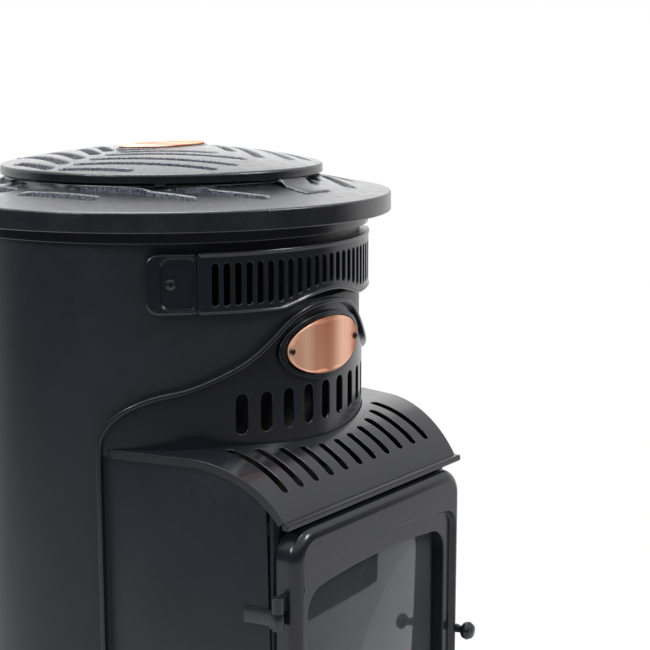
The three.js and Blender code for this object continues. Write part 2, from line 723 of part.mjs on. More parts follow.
function badgePlate() {
  const rim = BADGE_PLATE_W - BADGE_HALF_W;
  const place = onDrum(PLATE_R, BADGE_Z);
  const plate = ovalPlate(BADGE_PLATE_T, BADGE_PLATE_RIM, rim / 2, BADGE_PLATE_W, BADGE_PLATE_H, place);
  return cut(plate, ...badgeHoles(PLATE_R - SLACK, PLATE_R + BADGE_PLATE_T + SLACK));
}
add('badge_back_plate', badgePlate(), screwBlack);

function frontBadge() {
  const place = onDrum(FRONT_BADGE_R, BADGE_Z);
  const plate = ovalPlate(BADGE_T, BADGE_BEAD, 2, BADGE_HALF_W, BADGE_HALF_H, place);
  return cut(plate, ...badgeHoles(FRONT_BADGE_R - SLACK, FRONT_BADGE_R + BADGE_T + SLACK));
}
add('front_badge', frontBadge(), copper);

// ---------------------------------------------------------------- screws and bolts

// A cross-head screw: the underside of its head is at Z = 0.
function crossScrew(headRadius, length) {
  const body = turned([
    [0, -length], [SCREW_R, -length], [SCREW_R, 0], [headRadius, 0],
    [headRadius, SCREW_HEAD_H / 2], [headRadius * 0.6, SCREW_HEAD_H], [0, SCREW_HEAD_H],
  ], 12);
  const reach = headRadius * 0.55;
  const low = SCREW_HEAD_H - SCREW_CROSS_W;
  const high = SCREW_HEAD_H + SLACK;
  const half = SCREW_CROSS_W / 2;
  return cut(body, box(-reach, reach, -half, half, low, high), box(-half, half, -reach, reach, low, high));
}

const TAB_FLOOR_R = TAB_R - TAB_POCKET;
const BADGE_SCREW_LENGTH = BADGE_T + BADGE_PLATE_T;
const BAND_SCREW_LENGTH = TAB_FLOOR_R - DRUM_IN + SLACK;
for (const [side, sign] of [['left', -1], ['right', 1]]) {
  const badgeScrew = add(`badge_screw_${side}`, crossScrew(SMALL_HEAD_R, BADGE_SCREW_LENGTH), screwBlack);
  standOnDrum(badgeScrew, sign * BADGE_SCREW_ANGLE, FRONT_BADGE_R + BADGE_T + FIT, BADGE_Z);
  const bandScrew = add(`band_screw_${side}`, crossScrew(SCREW_HEAD_R, BAND_SCREW_LENGTH), screwBlack);
  standOnDrum(bandScrew, sign * TAB_SCREW_ANGLE, TAB_FLOOR_R + FIT, BAND_Z);
}

function hexBolt() {
  const head = turned([[0, 0], [BOLT_R * 1.6, 0], [BOLT_R * 1.6, BOLT_HEAD_H], [0, BOLT_HEAD_H]], 6);
  return join(head, rod(BOLT_R, -BOLT_LENGTH, SLACK / 2, 12));
}

const boltAngles = [];
for (let i = 0; i < BOLT_COUNT; i++) {
  boltAngles.push(BOLT_ANGLE + i * 360 / BOLT_COUNT);
}
boltAngles.forEach((angle, i) => {
  const bolt = add(`collar_bolt_${i + 1}`, hexBolt(), screwBlack);
  standOnDrum(bolt, angle, COLLAR_R + FIT, RIM_Z - BOLT_DROP);
});

// ---------------------------------------------------------------- louvre band

// Lower edge of the band, arching over the badge.
function bandLow(angle) {
  const arch = Math.abs(angle) < ARCH_ANGLE ? ARCH_H * Math.cos(radians(90 * angle / ARCH_ANGLE)) : 0;
  return BAND_Z - BAND_H / 2 + arch;
}

function bandChannel() {
  const foot = DRUM_R + FIT;
  const face = BAND_R - BAND_BEAD_H;
  const back = face - BAND_T;
  const high = BAND_Z + BAND_H / 2;
  const shoulder = BAND_BEAD_W / 3;
  const rings = [];
  for (let i = 0; i <= BAND_COLUMNS; i++) {
    const angle = -BAND_ANGLE + 2 * BAND_ANGLE * i / BAND_COLUMNS;
    const low = bandLow(angle);
    rings.push([
      [foot, low], [BAND_R - shoulder, low], [BAND_R, low + shoulder],
      [face, low + BAND_BEAD_W], [face, high - BAND_BEAD_W],
      [BAND_R, high - shoulder], [BAND_R - shoulder, high], [foot, high],
      [foot, high - BAND_T], [back, high - BAND_T], [back, low + BAND_T], [foot, low + BAND_T],
    ].map(([r, z]) => polar(angle, r, z)));
  }
  return loft(rings, byHeight);
}

// A rounded end tab, from just inside the channel's end to the band's end.
function bandTab(sign) {
  const foot = DRUM_R + FIT;
  const start = BAND_ANGLE - 0.5;
  const reach = radians(BAND_END_ANGLE - start) * TAB_R;
  const bevel = 1.5;
  const rings = [];
  const steps = 10;
  for (let i = 0; i <= steps; i++) {
    const along = reach * Math.sin(Math.PI / 2 * i / steps);
    const over = Math.max(along - (reach - TAB_CORNER), 0);
    const half = BAND_H / 2 - TAB_CORNER + Math.sqrt(TAB_CORNER ** 2 - over ** 2) - 0.5;
    const angle = sign * (start + THREE.MathUtils.radToDeg(along / TAB_R));
    rings.push([
      [foot, BAND_Z - half], [TAB_R - bevel, BAND_Z - half], [TAB_R, BAND_Z - half + bevel],
      [TAB_R, BAND_Z + half - bevel], [TAB_R - bevel, BAND_Z + half], [foot, BAND_Z + half],
    ].map(([r, z]) => polar(angle, r, z)));
  }
  return loft(rings, byHeight);
}

// The sunk field round the tab's screw: square at the inner end, rounded at the outer.
function tabPocket(sign) {
  const inner = radians(BAND_ANGLE + 1 - TAB_SCREW_ANGLE) * TAB_R;
  const outer = radians(BAND_END_ANGLE - TAB_SCREW_ANGLE) * TAB_R - TAB_BORDER;
  const half = BAND_H / 2 - TAB_BORDER;
  const corner = TAB_CORNER - TAB_BORDER / 2;
  const shape = new THREE.Shape();
  shape.moveTo(sign * inner, -half);
  shape.lineTo(sign * (outer - corner), -half);
  shape.quadraticCurveTo(sign * outer, -half, sign * outer, corner - half);
  shape.lineTo(sign * outer, half - corner);
  shape.quadraticCurveTo(sign * outer, half, sign * (outer - corner), half);
  shape.lineTo(sign * inner, half);
  return drumCutter(shape, sign * TAB_SCREW_ANGLE, BAND_Z, TAB_FLOOR_R, TAB_R + BAND_BEAD_H * 4);
}

function louvreBand() {
  const body = join(bandChannel(), bandTab(-1), bandTab(1));
  const cutters = [tabPocket(-1), tabPocket(1)];
  const high = BAND_Z - BAND_SLOT_DROP + BAND_SLOT_H / 2;
  for (let i = 0; i < BAND_SLOTS; i++) {
    const angle = (i - (BAND_SLOTS - 1) / 2) * BAND_SLOT_PITCH;
    const low = Math.max(high - BAND_SLOT_H, bandLow(angle) + BAND_SLOT_FOOT);
    const shape = slotShape(BAND_SLOT_W, high - low);
    cutters.push(drumCutter(shape, angle, (low + high) / 2, DRUM_R + BAND_T, BAND_R + SLACK));
  }
  const hole = roundShape(SCREW_R + FIT);
  for (const sign of [-1, 1]) {
    cutters.push(drumCutter(hole, sign * TAB_SCREW_ANGLE, BAND_Z, DRUM_R, TAB_R + SLACK, HOLE_STEPS));
  }
  return cut(body, ...cutters);
}
add('louvre_band', louvreBand(), hoodBlack);

// ---------------------------------------------------------------- collar and ring plate

function collarRing() {
  const inner = DRUM_R + 2 * FIT;
  const ring = tube(inner, COLLAR_R, DRUM_TOP - COLLAR_H, DRUM_TOP, DRUM_SIDES);
  const hole = roundShape(BOLT_R + FIT);
  const z = RIM_Z - BOLT_DROP;
  const inside = COLLAR_R - BOLT_LENGTH - FIT;
  const holes = boltAngles.map((angle) => drumCutter(hole, angle, z, inside, COLLAR_R + SLACK, HOLE_STEPS));
  return cut(ring, ...holes);
}
add('collar_ring', collarRing(), hoodBlack);

// Height of the ring plate's upper face outside the bead.
function ringFace(radius) {
  if (radius > RING_CREASE_R) {
    return RIM_Z + RING_CREASE_H * (RING_R - 2 - radius) / (RING_R - 2 - RING_CREASE_R);
  }
  const share = (RING_CREASE_R - radius) / (RING_CREASE_R - RING_BEAD_R);
  return RIM_Z + RING_CREASE_H + (RING_FOOT_H - RING_CREASE_H) * share;
}

// A slot between two plan points, cut straight down through a casting.
function plateSlot(start, end, width, low, high) {
  const run = new THREE.Vector2(end[0] - start[0], end[1] - start[1]);
  const geometry = new THREE.ExtrudeGeometry(slotShape(width, run.length() + width), {
    depth: high - low, bevelEnabled: false, curveSegments: ARC_STEPS,
  });
  geometry.rotateZ(run.angle() - Math.PI / 2);
  geometry.translate((start[0] + end[0]) / 2, (start[1] + end[1]) / 2, low);
  return toSolid(geometry);
}

const QUARTERS = [[-1, -1], [1, -1], [-1, 1], [1, 1]];

function topRingPlate() {
  const under = RIM_Z - RING_LAND_T;
  const rimIn = RING_R - RING_RIM_T;
  const beadTop = RIM_Z + RING_BEAD_H;
  const collarIn = DRUM_R - 2 * SHEET;
  const edge = 2;
  const profile = [
    [RING_HOLE_R, beadTop - 2 * RING_LAND_T], [collarIn, under], [rimIn, under],
    [rimIn, RIM_Z - RING_RIM_H], [RING_R - edge / 2, RIM_Z - RING_RIM_H],
    [RING_R, RIM_Z - RING_RIM_H + edge / 2], [RING_R, RIM_Z - edge], [RING_R - edge, RIM_Z],
    [RING_CREASE_R, ringFace(RING_CREASE_R)], [RING_BEAD_R, ringFace(RING_BEAD_R)],
    [RING_BEAD_R - edge, beadTop - edge / 3], [RING_BEAD_R - 2 * edge, beadTop],
    [RING_HOLE_R + edge, beadTop], [RING_HOLE_R, beadTop - edge],
    [RING_HOLE_R, beadTop - 2 * RING_LAND_T],
  ];
  const low = RIM_Z - RING_RIM_H;
  const high = beadTop + SLACK;
  const cutters = [box(-NOTCH_W / 2, NOTCH_W / 2, -NOTCH_FAR, -NOTCH_NEAR, low, high)];
  for (const [sideways, lengthways] of QUARTERS) {
    for (const [start, end] of lengthways < 0 ? RING_SLOTS_FRONT : RING_SLOTS_REAR) {
      const from = [sideways * start[0] * RING_R, lengthways * start[1] * RING_R];
      const to = [sideways * end[0] * RING_R, lengthways * end[1] * RING_R];
      cutters.push(plateSlot(from, to, RING_SLOT_W, low, high));
    }
  }
  return cut(turned(profile, DRUM_SIDES), ...cutters);
}
add('top_ring_plate', topRingPlate(), castBlack);

// ---------------------------------------------------------------- lid

const lidFace = (radius) => RIM_Z + LID_CROWN - LID_DROP * (radius / LID_R) ** 2;
const lidUnder = (radius) => lidFace(radius) - LID_T;
const PIVOT_Z = RIM_Z + LID_PIVOT_H;
const PLAQUE_Z = RIM_Z + LID_CROWN - BADGE_T / 2;

// Hinge lugs behind the lid: an eye round the pin and an arm under the dome's edge.
function lidLug(left) {
  const eye = [];
  for (let i = 0; i <= 12; i++) {
    const turn = radians(-90 + 15 * i);
    eye.push([LID_PIVOT_BACK + LID_LUG_R * Math.cos(turn), PIVOT_Z + LID_LUG_R * Math.sin(turn)]);
  }
  const root = LID_R - 3 * LID_LUG_R / 2;
  const low = RIM_Z + LID_EDGE_H;
  return across([[root, low], [LID_PIVOT_BACK - LID_LUG_R, low], ...eye, [root, lidFace(root) - SLACK]],
    left, left + LID_LUG_W);
}

function lidDisc() {
  const face = [0, 0.55, 0.96].map((share) => [share * LID_R, lidFace(share * LID_R)]);
  const under = [0.94, 0].map((share) => [share * LID_R, lidUnder(share * LID_R)]);
  const edgeLow = RIM_Z + LID_EDGE_H;
  const body = turned([
    ...face, [LID_R - 1, lidFace(LID_R) - 0.5], [LID_R, lidFace(LID_R) - 3],
    [LID_R - 0.5, edgeLow + 1], [LID_R - 1.5, edgeLow], [LID_R - 6, edgeLow], ...under,
  ], LID_SIDES);
  const rimTop = LID_RIM_W + 0.6;
  const rimProfile = [[0, 0, 0], [0, 0], [0, LID_RIM_W], [1, rimTop], [1, rimTop, 0]];
  const plaqueRim = ovalBody(rimProfile, BADGE_HALF_W + LID_RIM_W, BADGE_HALF_H + LID_RIM_W,
    flat(PLAQUE_Z - LID_RIM_W - FIT));
  const pocket = ovalBody([[0, 0, 0], [0, 0], [0, LID_T], [0, LID_T, 0]],
    BADGE_HALF_W + FIT, BADGE_HALF_H + FIT, flat(PLAQUE_Z - FIT));
  const pads = LID_PAD_ANGLES.map((angle) => {
    const spot = polar(angle, LID_PAD_R, 0);
    return rod(LID_PAD_SIZE, RIM_Z + RING_BEAD_H + FIT, lidFace(LID_PAD_R) - SLACK, 12, spot.x, spot.y);
  });
  const cutters = [];
  for (const [sideways, lengthways] of QUARTERS) {
    for (const [start, end] of LID_SLOTS) {
      const from = [sideways * start[0] * LID_R, lengthways * start[1] * LID_R];
      const to = [sideways * end[0] * LID_R, lengthways * end[1] * LID_R];
      cutters.push(plateSlot(from, to, LID_SLOT_W, RIM_Z, RIM_Z + 2 * LID_CROWN));
    }
  }
  const slotted = cut(join(body, plaqueRim), pocket, ...cutters);
  const lugs = [lidLug(LID_LUG_IN), lidLug(-LID_LUG_IN - LID_LUG_W)];
  const boreLength = 2 * (LID_LUG_IN + LID_LUG_W + SLACK);
  const bore = new THREE.CylinderGeometry(LID_PIN_R + RUN, LID_PIN_R + RUN, boreLength, 16);
  bore.rotateZ(Math.PI / 2);
  bore.translate(0, LID_PIVOT_BACK, PIVOT_Z);
  return cut(join(slotted, ...pads, ...lugs), toSolid(bore));
}
add('lid_disc', lidDisc(), castBlack);

function lidBadge() {
  const high = BADGE_T + BADGE_BEAD;
  return ovalBody([
    [0, 0, 0], [0, 0], [0, BADGE_T], [0.5, high], [1.5, high], [2, BADGE_T], [2, BADGE_T, 0],
  ], BADGE_HALF_W, BADGE_HALF_H, flat(PLAQUE_Z));
}
add('lid_badge', lidBadge(), copper);

// The lift tongue under the lid's front edge, lying in the ring plate's notch.
function lidTongue() {
  const top = RIM_Z + LID_EDGE_H - FIT;
  const tip = NOTCH_FAR - TONGUE_GAP;
  const bend = NOTCH_NEAR + 2 * TONGUE_T;
  const tipZ = ringFace(tip);
  const root = RING_HOLE_R - 2 * LID_PAD_SIZE;
  const half = NOTCH_W / 2 - TONGUE_GAP;
  return across([
    [-root, top], [-root, top - TONGUE_T], [-NOTCH_NEAR, top - TONGUE_T],
    [-bend - TONGUE_T, ringFace(bend) - TONGUE_T / 2], [-tip, tipZ - TONGUE_T / 2],
    [-tip, tipZ + TONGUE_T / 2], [-bend - TONGUE_T, ringFace(bend) + TONGUE_T / 2], [-NOTCH_NEAR, top],
  ], -half, half);
}
add('lid_tongue', lidTongue(), castBlack);

// A block on the ring plate that carries the lid's hinge pin.
function lidHingeBracket() {
  const half = LID_LUG_IN - 2 * FIT;
  const near = LID_PIVOT_BACK - LID_LUG_R;
  const far = LID_PIVOT_BACK + LID_LUG_R;
  const block = across([
    [near, ringFace(near) + FIT], [far, ringFace(far) + FIT], [far, PIVOT_Z + LID_PIN_R],
    [far - 3, PIVOT_Z + LID_LUG_R], [near + 3, PIVOT_Z + LID_LUG_R], [near, PIVOT_Z + LID_PIN_R],
  ], -half, half);
  const reach = LID_LUG_IN + LID_LUG_W + 2;
  const pin = new THREE.CylinderGeometry(LID_PIN_R, LID_PIN_R, 2 * reach, 16);
  pin.rotateZ(Math.PI / 2);
  pin.translate(0, LID_PIVOT_BACK, PIVOT_Z);
  return join(block, toSolid(pin));
}
add('lid_hinge_bracket', lidHingeBracket(), castBlack);

// ---------------------------------------------------------------- hood and side walls

// Half width of the housing at a distance forward of the axis.
function housingHalf(forward) {
  const share = (forward - HOOD_REAR) / (HOOD_FRONT - HOOD_REAR);
  return HOOD_REAR_W + (HOOD_FRONT_W - HOOD_REAR_W) * share;
}

// The hood's section from back to front, at a depth below its outer face.
function hoodLine(depth) {
  const line = [[-HOOD_REAR, HOOD_Z - depth], [-HOOD_FLAT, HOOD_Z - depth]];
  for (let i = 1; i <= HOOD_STEPS; i++) {
    const turn = radians(HOOD_SWEEP * i / HOOD_STEPS);
    const radius = HOOD_BEND_R - depth;
    line.push([-HOOD_FLAT - radius * Math.sin(turn), HOOD_Z - HOOD_BEND_R + radius * Math.cos(turn)]);
  }
  return line;
}

// A slab that follows one side of the housing in plan, between two insets.
function sideSlab(sign, outer, inner, rear, front, low, high) {
  return raised(outline([
    [sign * (housingHalf(rear) - outer), -rear], [sign * (housingHalf(front) - outer), -front],
    [sign * (housingHalf(front) - inner), -front], [sign * (housingHalf(rear) - inner), -rear],
  ]), low, high);
}

function hood() {
  const reach = HOOD_REAR_W + SLACK;
  const plate = across([...hoodLine(0), ...hoodLine(SHEET).reverse()], -reach, reach);
  const plan = raised(outline([
    [-HOOD_REAR_W, -HOOD_REAR], [-HOOD_FRONT_W, -HOOD_FRONT],
    [HOOD_FRONT_W, -HOOD_FRONT], [HOOD_REAR_W, -HOOD_REAR],
  ]), LIP_Z - LIP_H, HOOD_Z + SLACK);
  const band = across([...hoodLine(0), ...hoodLine(HOOD_SKIRT).reverse()], -reach, reach);
  const low = LIP_Z - 2 * HOOD_SKIRT;
  const skirts = [-1, 1].map((sign) => band.intersect(
    sideSlab(sign, 0, SHEET, HOOD_REAR, HOOD_FRONT, low, HOOD_Z + SLACK)));
  const lipHalf = HOOD_FRONT_W + LIP_OVER;
  const lip = box(-lipHalf, lipHalf, -HOOD_FRONT - LIP_REACH, -HOOD_FRONT + SHEET, LIP_Z - LIP_H, LIP_Z);
  const body = join(plate.intersect(plan), ...skirts, lip);
  const drum = rod(APRON_R + 2 * FIT, LIP_Z - DRUM_R, HOOD_Z + 2 * SLACK, DRUM_SIDES);
  const slots = [];
  for (let i = 0; i < HOOD_SLOTS; i++) {
    const x = (i - (HOOD_SLOTS - 1) / 2) * HOOD_SLOT_PITCH;
    const rear = Math.sqrt((APRON_R + HOOD_SLOT_GAP) ** 2 - x ** 2) + HOOD_SLOT_W / 2;
    const front = HOOD_FRONT - HOOD_SLOT_INSET - HOOD_SLOT_W / 2;
    slots.push(plateSlot([x, -rear], [x, -front], HOOD_SLOT_W, low, HOOD_Z + SLACK));
  }
  return cut(body, drum, ...slots);
}
add('hood', hood(), hoodBlack);

const WALL_INSET = SHEET + FIT;
const WALL_FRONT = FRAME_FRONT + FRAME_T;
const WALL_REAR = HOOD_REAR;

function sideWall(sign) {
  const top = hoodLine(SHEET + FIT).filter(([y]) => -y < WALL_FRONT);
  const body = across([...top, [-WALL_FRONT, FLOOR_Z], [-WALL_REAR, FLOOR_Z]], -HOOD_REAR_W, HOOD_REAR_W);
  const slab = sideSlab(sign, WALL_INSET, WALL_INSET + SHEET, WALL_REAR, WALL_FRONT, 0, HOOD_Z);
  const apronLap = rod(APRON_R + 2 * FIT, HOOD_Z - APRON_LAP - FIT, HOOD_Z, DRUM_SIDES);
  return cut(body.intersect(slab), apronLap);
}
add('side_wall_left', sideWall(-1), drumBlack);
add('side_wall_right', sideWall(1), drumBlack);

// ---------------------------------------------------------------- front frame

// Height of the hood's outer face at a distance forward of the axis.
function hoodHeight(forward) {
  const run = Math.max(forward - HOOD_FLAT, 0);
  return HOOD_Z - HOOD_BEND_R + Math.sqrt(HOOD_BEND_R ** 2 - run ** 2);
}

function frontFrame() {
  const half = housingHalf(FRAME_FRONT) - WALL_INSET - SHEET - FIT;
  const top = hoodHeight(FRAME_FRONT) - 2 * SHEET - FIT;
  const openHalf = DOOR_HALF_W - FRAME_MARGIN;
  const plate = box(-half, half, -FRAME_FRONT, -FRAME_BACK, FLOOR_Z, top);
  const opening = box(-openHalf, openHalf, -FRAME_FRONT - SLACK, -FRAME_BACK + SLACK,
    DOOR_BOTTOM + FRAME_MARGIN, DOOR_TOP - FRAME_MARGIN);
  return cut(plate, opening);
}
add('front_frame', frontFrame(), drumBlack);

// ---------------------------------------------------------------- base and plinth

// The keyhole plan of drum and housing, drawn larger by an outset.
function keyhole(outset, low, high) {
  const round = rod(DRUM_R + outset, low, high, DRUM_SIDES);
  const rear = HOOD_REAR - BASE_TUCK;
  const rearHalf = housingHalf(rear) + outset;
  const frontHalf = housingHalf(WALL_FRONT) + outset;
  const front = WALL_FRONT + outset;
  const housing = outline([
    [-rearHalf, -rear], [-frontHalf, -front], [frontHalf, -front], [rearHalf, -rear],
  ]);
  return join(round, raised(housing, low, high));
}

const castorSpots = [
  ['rear_left', -CASTOR_REAR[0], CASTOR_REAR[1]],
  ['rear_right', CASTOR_REAR[0], CASTOR_REAR[1]],
  ['front_left', -CASTOR_FRONT[0], -CASTOR_FRONT[1]],
  ['front_right', CASTOR_FRONT[0], -CASTOR_FRONT[1]],
].map(([where, x, y]) => [where, x * DRUM_R, y * DRUM_R]);

function basePlate() {
  const holes = castorSpots.map(([, x, y]) => {
    const geometry = new THREE.CylinderGeometry(STEM_R + RUN, STEM_R + RUN, BASE_T + 2 * SLACK, 16);
    geometry.rotateX(Math.PI / 2);
    geometry.translate(x, y, (BASE_BOTTOM + BASE_TOP) / 2);
    return toSolid(geometry);
  });
  return cut(keyhole(BASE_OUTSET, BASE_BOTTOM, BASE_TOP), ...holes);
}
add('base_plate', basePlate(), drumBlack);

function plinthSkirt() {
  const high = BASE_BOTTOM - FIT;
  const outer = keyhole(BASE_OUTSET - SLACK, PLINTH_LIFT, high);
  return cut(outer, keyhole(BASE_OUTSET - SLACK - PLINTH_T, PLINTH_LIFT - SLACK, high + SLACK));
}
add('plinth_skirt', plinthSkirt(), hoodBlack);

// ---------------------------------------------------------------- castors

function castorFork() {
  const legIn = WHEEL_W / 2 + FORK_GAP;
  const legOut = legIn + FORK_LEG;
  const bridge = box(-legOut, legOut, -FORK_HALF, FORK_HALF, CASTOR_H - 3, CASTOR_H);
  const side = [
    [-FORK_HALF, CASTOR_H], [-FORK_HALF, CASTOR_H - 6], [CASTOR_TRAIL - 2 * AXLE_R, WHEEL_R - 2 * AXLE_R],
    [CASTOR_TRAIL + 2 * AXLE_R, WHEEL_R - 2 * AXLE_R], [FORK_HALF, CASTOR_H],
  ];
  const legs = [across(side, -legOut, -legIn), across(side, legIn, legOut)];
  const axle = new THREE.CylinderGeometry(AXLE_R, AXLE_R, 2 * legOut, 12);
  axle.rotateZ(Math.PI / 2);
  axle.translate(0, CASTOR_TRAIL, WHEEL_R);
  const headLow = BASE_TOP + FIT;
  const stem = rod(STEM_R, CASTOR_H - SLACK, headLow + SLACK);
  const head = rod(STEM_HEAD_R, headLow, headLow + STEM_HEAD_H);
  return join(bridge, ...legs, toSolid(axle), stem, head);
}

function castorWheel() {
  const half = WHEEL_W / 2;
  const bore = AXLE_R + RUN;
  const geometry = new THREE.LatheGeometry([
    [bore, -half], [WHEEL_R - WHEEL_EDGE, -half], [WHEEL_R, -half + WHEEL_EDGE],
    [WHEEL_R, half - WHEEL_EDGE], [WHEEL_R - WHEEL_EDGE, half], [bore, half], [bore, -half],
  ].map(([r, y]) => new THREE.Vector2(r, y)), 20);
  geometry.rotateZ(Math.PI / 2);
  return toSolid(geometry);
}

for (const [where, x, y] of castorSpots) {
  const castor = new THREE.Group();
  castor.position.set(x, y, 0);
  stove.add(castor);
  add(`castor_fork_${where}`, castorFork(), zinc, castor);
  const wheel = add(`castor_wheel_${where}`, castorWheel(), rubberGrey, castor);
  wheel.position.set(0, CASTOR_TRAIL, WHEEL_R);
}

// ---------------------------------------------------------------- door

// A shallow arch-topped outline, drawn in x and z.
function archShape(half, low, top, arch, corner) {
  const side = top - arch;
  const fall = arch * corner / half;
  const shape = new THREE.Shape();
  shape.moveTo(-half, low + corner);
  shape.quadraticCurveTo(-half, low, -half + corner, low);
  shape.lineTo(half - corner, low);
  shape.quadraticCurveTo(half, low, half, low + corner);
  shape.lineTo(half, side - corner);
  shape.quadraticCurveTo(half, side, half - corner, side + fall);
  shape.quadraticCurveTo(0, top + arch - 2 * fall, corner - half, side + fall);
  shape.quadraticCurveTo(-half, side, -half, side - corner);
  shape.closePath();
  return shape;
}

const WINDOW_LOW = DOOR_BOTTOM + (DOOR_HALF_W - WINDOW_HALF_W);
const WINDOW_HIGH = DOOR_TOP - WINDOW_TOP;
const DOOR_HINGES = [DOOR_TOP - HINGE_INSET - 2 * HINGE_H, DOOR_BOTTOM + HINGE_INSET];

// A standing cylinder at the door's hinge axis.
function hingeRod(radius, low, high) {
  const geometry = new THREE.CylinderGeometry(radius, radius, high - low, 16);
  geometry.rotateX(Math.PI / 2);
  geometry.translate(-HINGE_OUT, -HINGE_FORWARD, (low + high) / 2);
  return toSolid(geometry);
}

function doorFrame() {
  const [low, high] = [DOOR_BOTTOM + DOOR_ROUND, DOOR_TOP - DOOR_ROUND];
  const shape = archShape(DOOR_HALF_W - DOOR_ROUND, low, high, 0, DOOR_CORNER - DOOR_ROUND);
  const puffed = inward(shape, DOOR_FRONT - DOOR_ROUND, DOOR_BACK - DOOR_ROUND, {
    bevelEnabled: true,
    bevelSize: DOOR_ROUND,
    bevelThickness: DOOR_ROUND,
    bevelSegments: 4,
    curveSegments: 5,
  });
  const behind = box(-DOOR_HALF_W - SLACK, DOOR_HALF_W + SLACK, -DOOR_BACK, 0, 0, DOOR_TOP + SLACK);
  const recess = inward(
    archShape(RECESS_HALF_W, DOOR_BOTTOM + RECESS_BORDER, DOOR_TOP - RECESS_TOP, RECESS_ARCH, RECESS_CORNER),
    DOOR_FRONT + SLACK, DOOR_FRONT - RECESS_DEPTH);
  const opening = inward(archShape(WINDOW_HALF_W, WINDOW_LOW, WINDOW_HIGH, WINDOW_ARCH, WINDOW_CORNER),
    DOOR_FRONT + SLACK, DOOR_BACK - SLACK);
  const seat = GLASS_LAP + FIT;
  const pocketDepth = GLASS_T + RETAINER_T + 3 * FIT;
  const pocket = box(-WINDOW_HALF_W - seat, WINDOW_HALF_W + seat, -DOOR_BACK - pocketDepth, 0,
    WINDOW_LOW - seat, WINDOW_HIGH + seat);
  const body = cut(puffed, behind, recess, opening, pocket);
  const eyes = DOOR_HINGES.map((low) => {
    const eye = hingeRod(HINGE_R, low + HINGE_H + FIT, low + 2 * HINGE_H);
    const [front, back] = [-HINGE_FORWARD - HINGE_R / 2, -HINGE_FORWARD + HINGE_R / 2];
    const [foot, top] = [low + HINGE_H + FIT, low + 2 * HINGE_H];
    const arm = box(-HINGE_OUT, -DOOR_HALF_W + DOOR_ROUND / 2, front, back, foot, top);
    return join(eye, arm);
  });
  const bores = DOOR_HINGES.map((low) => hingeRod(HINGE_PIN_R + RUN, low, low + 3 * HINGE_H));
  return cut(join(body, ...eyes), ...bores);
}
add('door_frame', doorFrame(), hoodBlack);

const glassBox = (depth, thickness, lap) => box(
  -WINDOW_HALF_W - lap, WINDOW_HALF_W + lap, -DOOR_BACK - depth - thickness, -DOOR_BACK - depth,
  WINDOW_LOW - lap, WINDOW_HIGH + lap);
const GLASS_DEPTH = RETAINER_T + 2 * FIT;

add('door_glass', glassBox(GLASS_DEPTH, GLASS_T, GLASS_LAP), glassTint);
add('glass_retainer', cut(
  glassBox(FIT, RETAINER_T, GLASS_LAP),
  glassBox(FIT - SLACK, RETAINER_T + 2 * SLACK, GLASS_LAP - RETAINER_W),
), zinc);

const doorKnob = add('door_knob', turned([
  [0, 0], [KNOB_R * 0.5, 0], [KNOB_R * 0.4, KNOB_REACH * 0.3], [KNOB_R * 0.9, KNOB_REACH * 0.5],
  [KNOB_R, KNOB_REACH * 0.7], [KNOB_R * 0.75, KNOB_REACH * 0.92], [0, KNOB_REACH - FIT],
], 20), screwBlack);
doorKnob.rotation.x = Math.PI / 2;
doorKnob.position.set(DOOR_HALF_W - KNOB_INSET, -DOOR_FRONT - FIT, (DOOR_TOP + DOOR_BOTTOM) / 2);

// The fixed half of a door hinge: a knuckle with its pin and a leaf along the side wall.
function doorHinge(low) {
  const knuckle = hingeRod(HINGE_R, low, low + HINGE_H);
  const pin = hingeRod(HINGE_PIN_R, low + HINGE_H - SLACK, low + 2 * HINGE_H - FIT);
  const rear = FRAME_BACK - 4 * HINGE_R;
  const high = low + HINGE_H;
  const leaf = sideSlab(-1, WALL_INSET - SHEET - FIT, WALL_INSET - FIT, rear, WALL_FRONT, low, high);
  const wallSide = -housingHalf(WALL_FRONT) + WALL_INSET - FIT - SHEET / 2;
  const arm = box(-HINGE_OUT - HINGE_R / 3, wallSide, -HINGE_FORWARD, -WALL_FRONT + SHEET, low, high);
  return join(knuckle, pin, leaf, arm);
}
add('door_hinge_upper', doorHinge(DOOR_HINGES[0]), screwBlack);
add('door_hinge_lower', doorHinge(DOOR_HINGES[1]), screwBlack);

// ---------------------------------------------------------------- rear door

const REAR_IN = DRUM_R + FIT;
const REAR_OUT = REAR_IN + SHEET;
const REAR_EDGE = REAR_ANGLE + REAR_LAP;
const REAR_HINGE_ANGLE = BEHIND - REAR_EDGE - REAR_HINGE_STEP;
const REAR_HINGES = [REAR_LOW + REAR_HINGE_INSET, REAR_HIGH - REAR_HINGE_INSET - 2 * HINGE_H];
const REAR_VENT_Z = (REAR_LOW + REAR_HIGH) / 2;

function rearRod(radius, low, high) {
  const spot = polar(REAR_HINGE_ANGLE, REAR_HINGE_R, 0);
  const geometry = new THREE.CylinderGeometry(radius, radius, high - low, 14);
  geometry.rotateX(Math.PI / 2);
  geometry.translate(spot.x, spot.y, (low + high) / 2);
  return toSolid(geometry);
}

// An arc of sheet between two angles.
function sheetArc(from, to, inner, outer, low, high, steps) {
  const rings = [];
  for (let i = 0; i <= steps; i++) {
    const angle = from + (to - from) * i / steps;
    rings.push([[inner, low], [outer, low], [outer, high], [inner, high]]
      .map(([r, z]) => polar(angle, r, z)));
  }
  return loft(rings, byHeight);
}

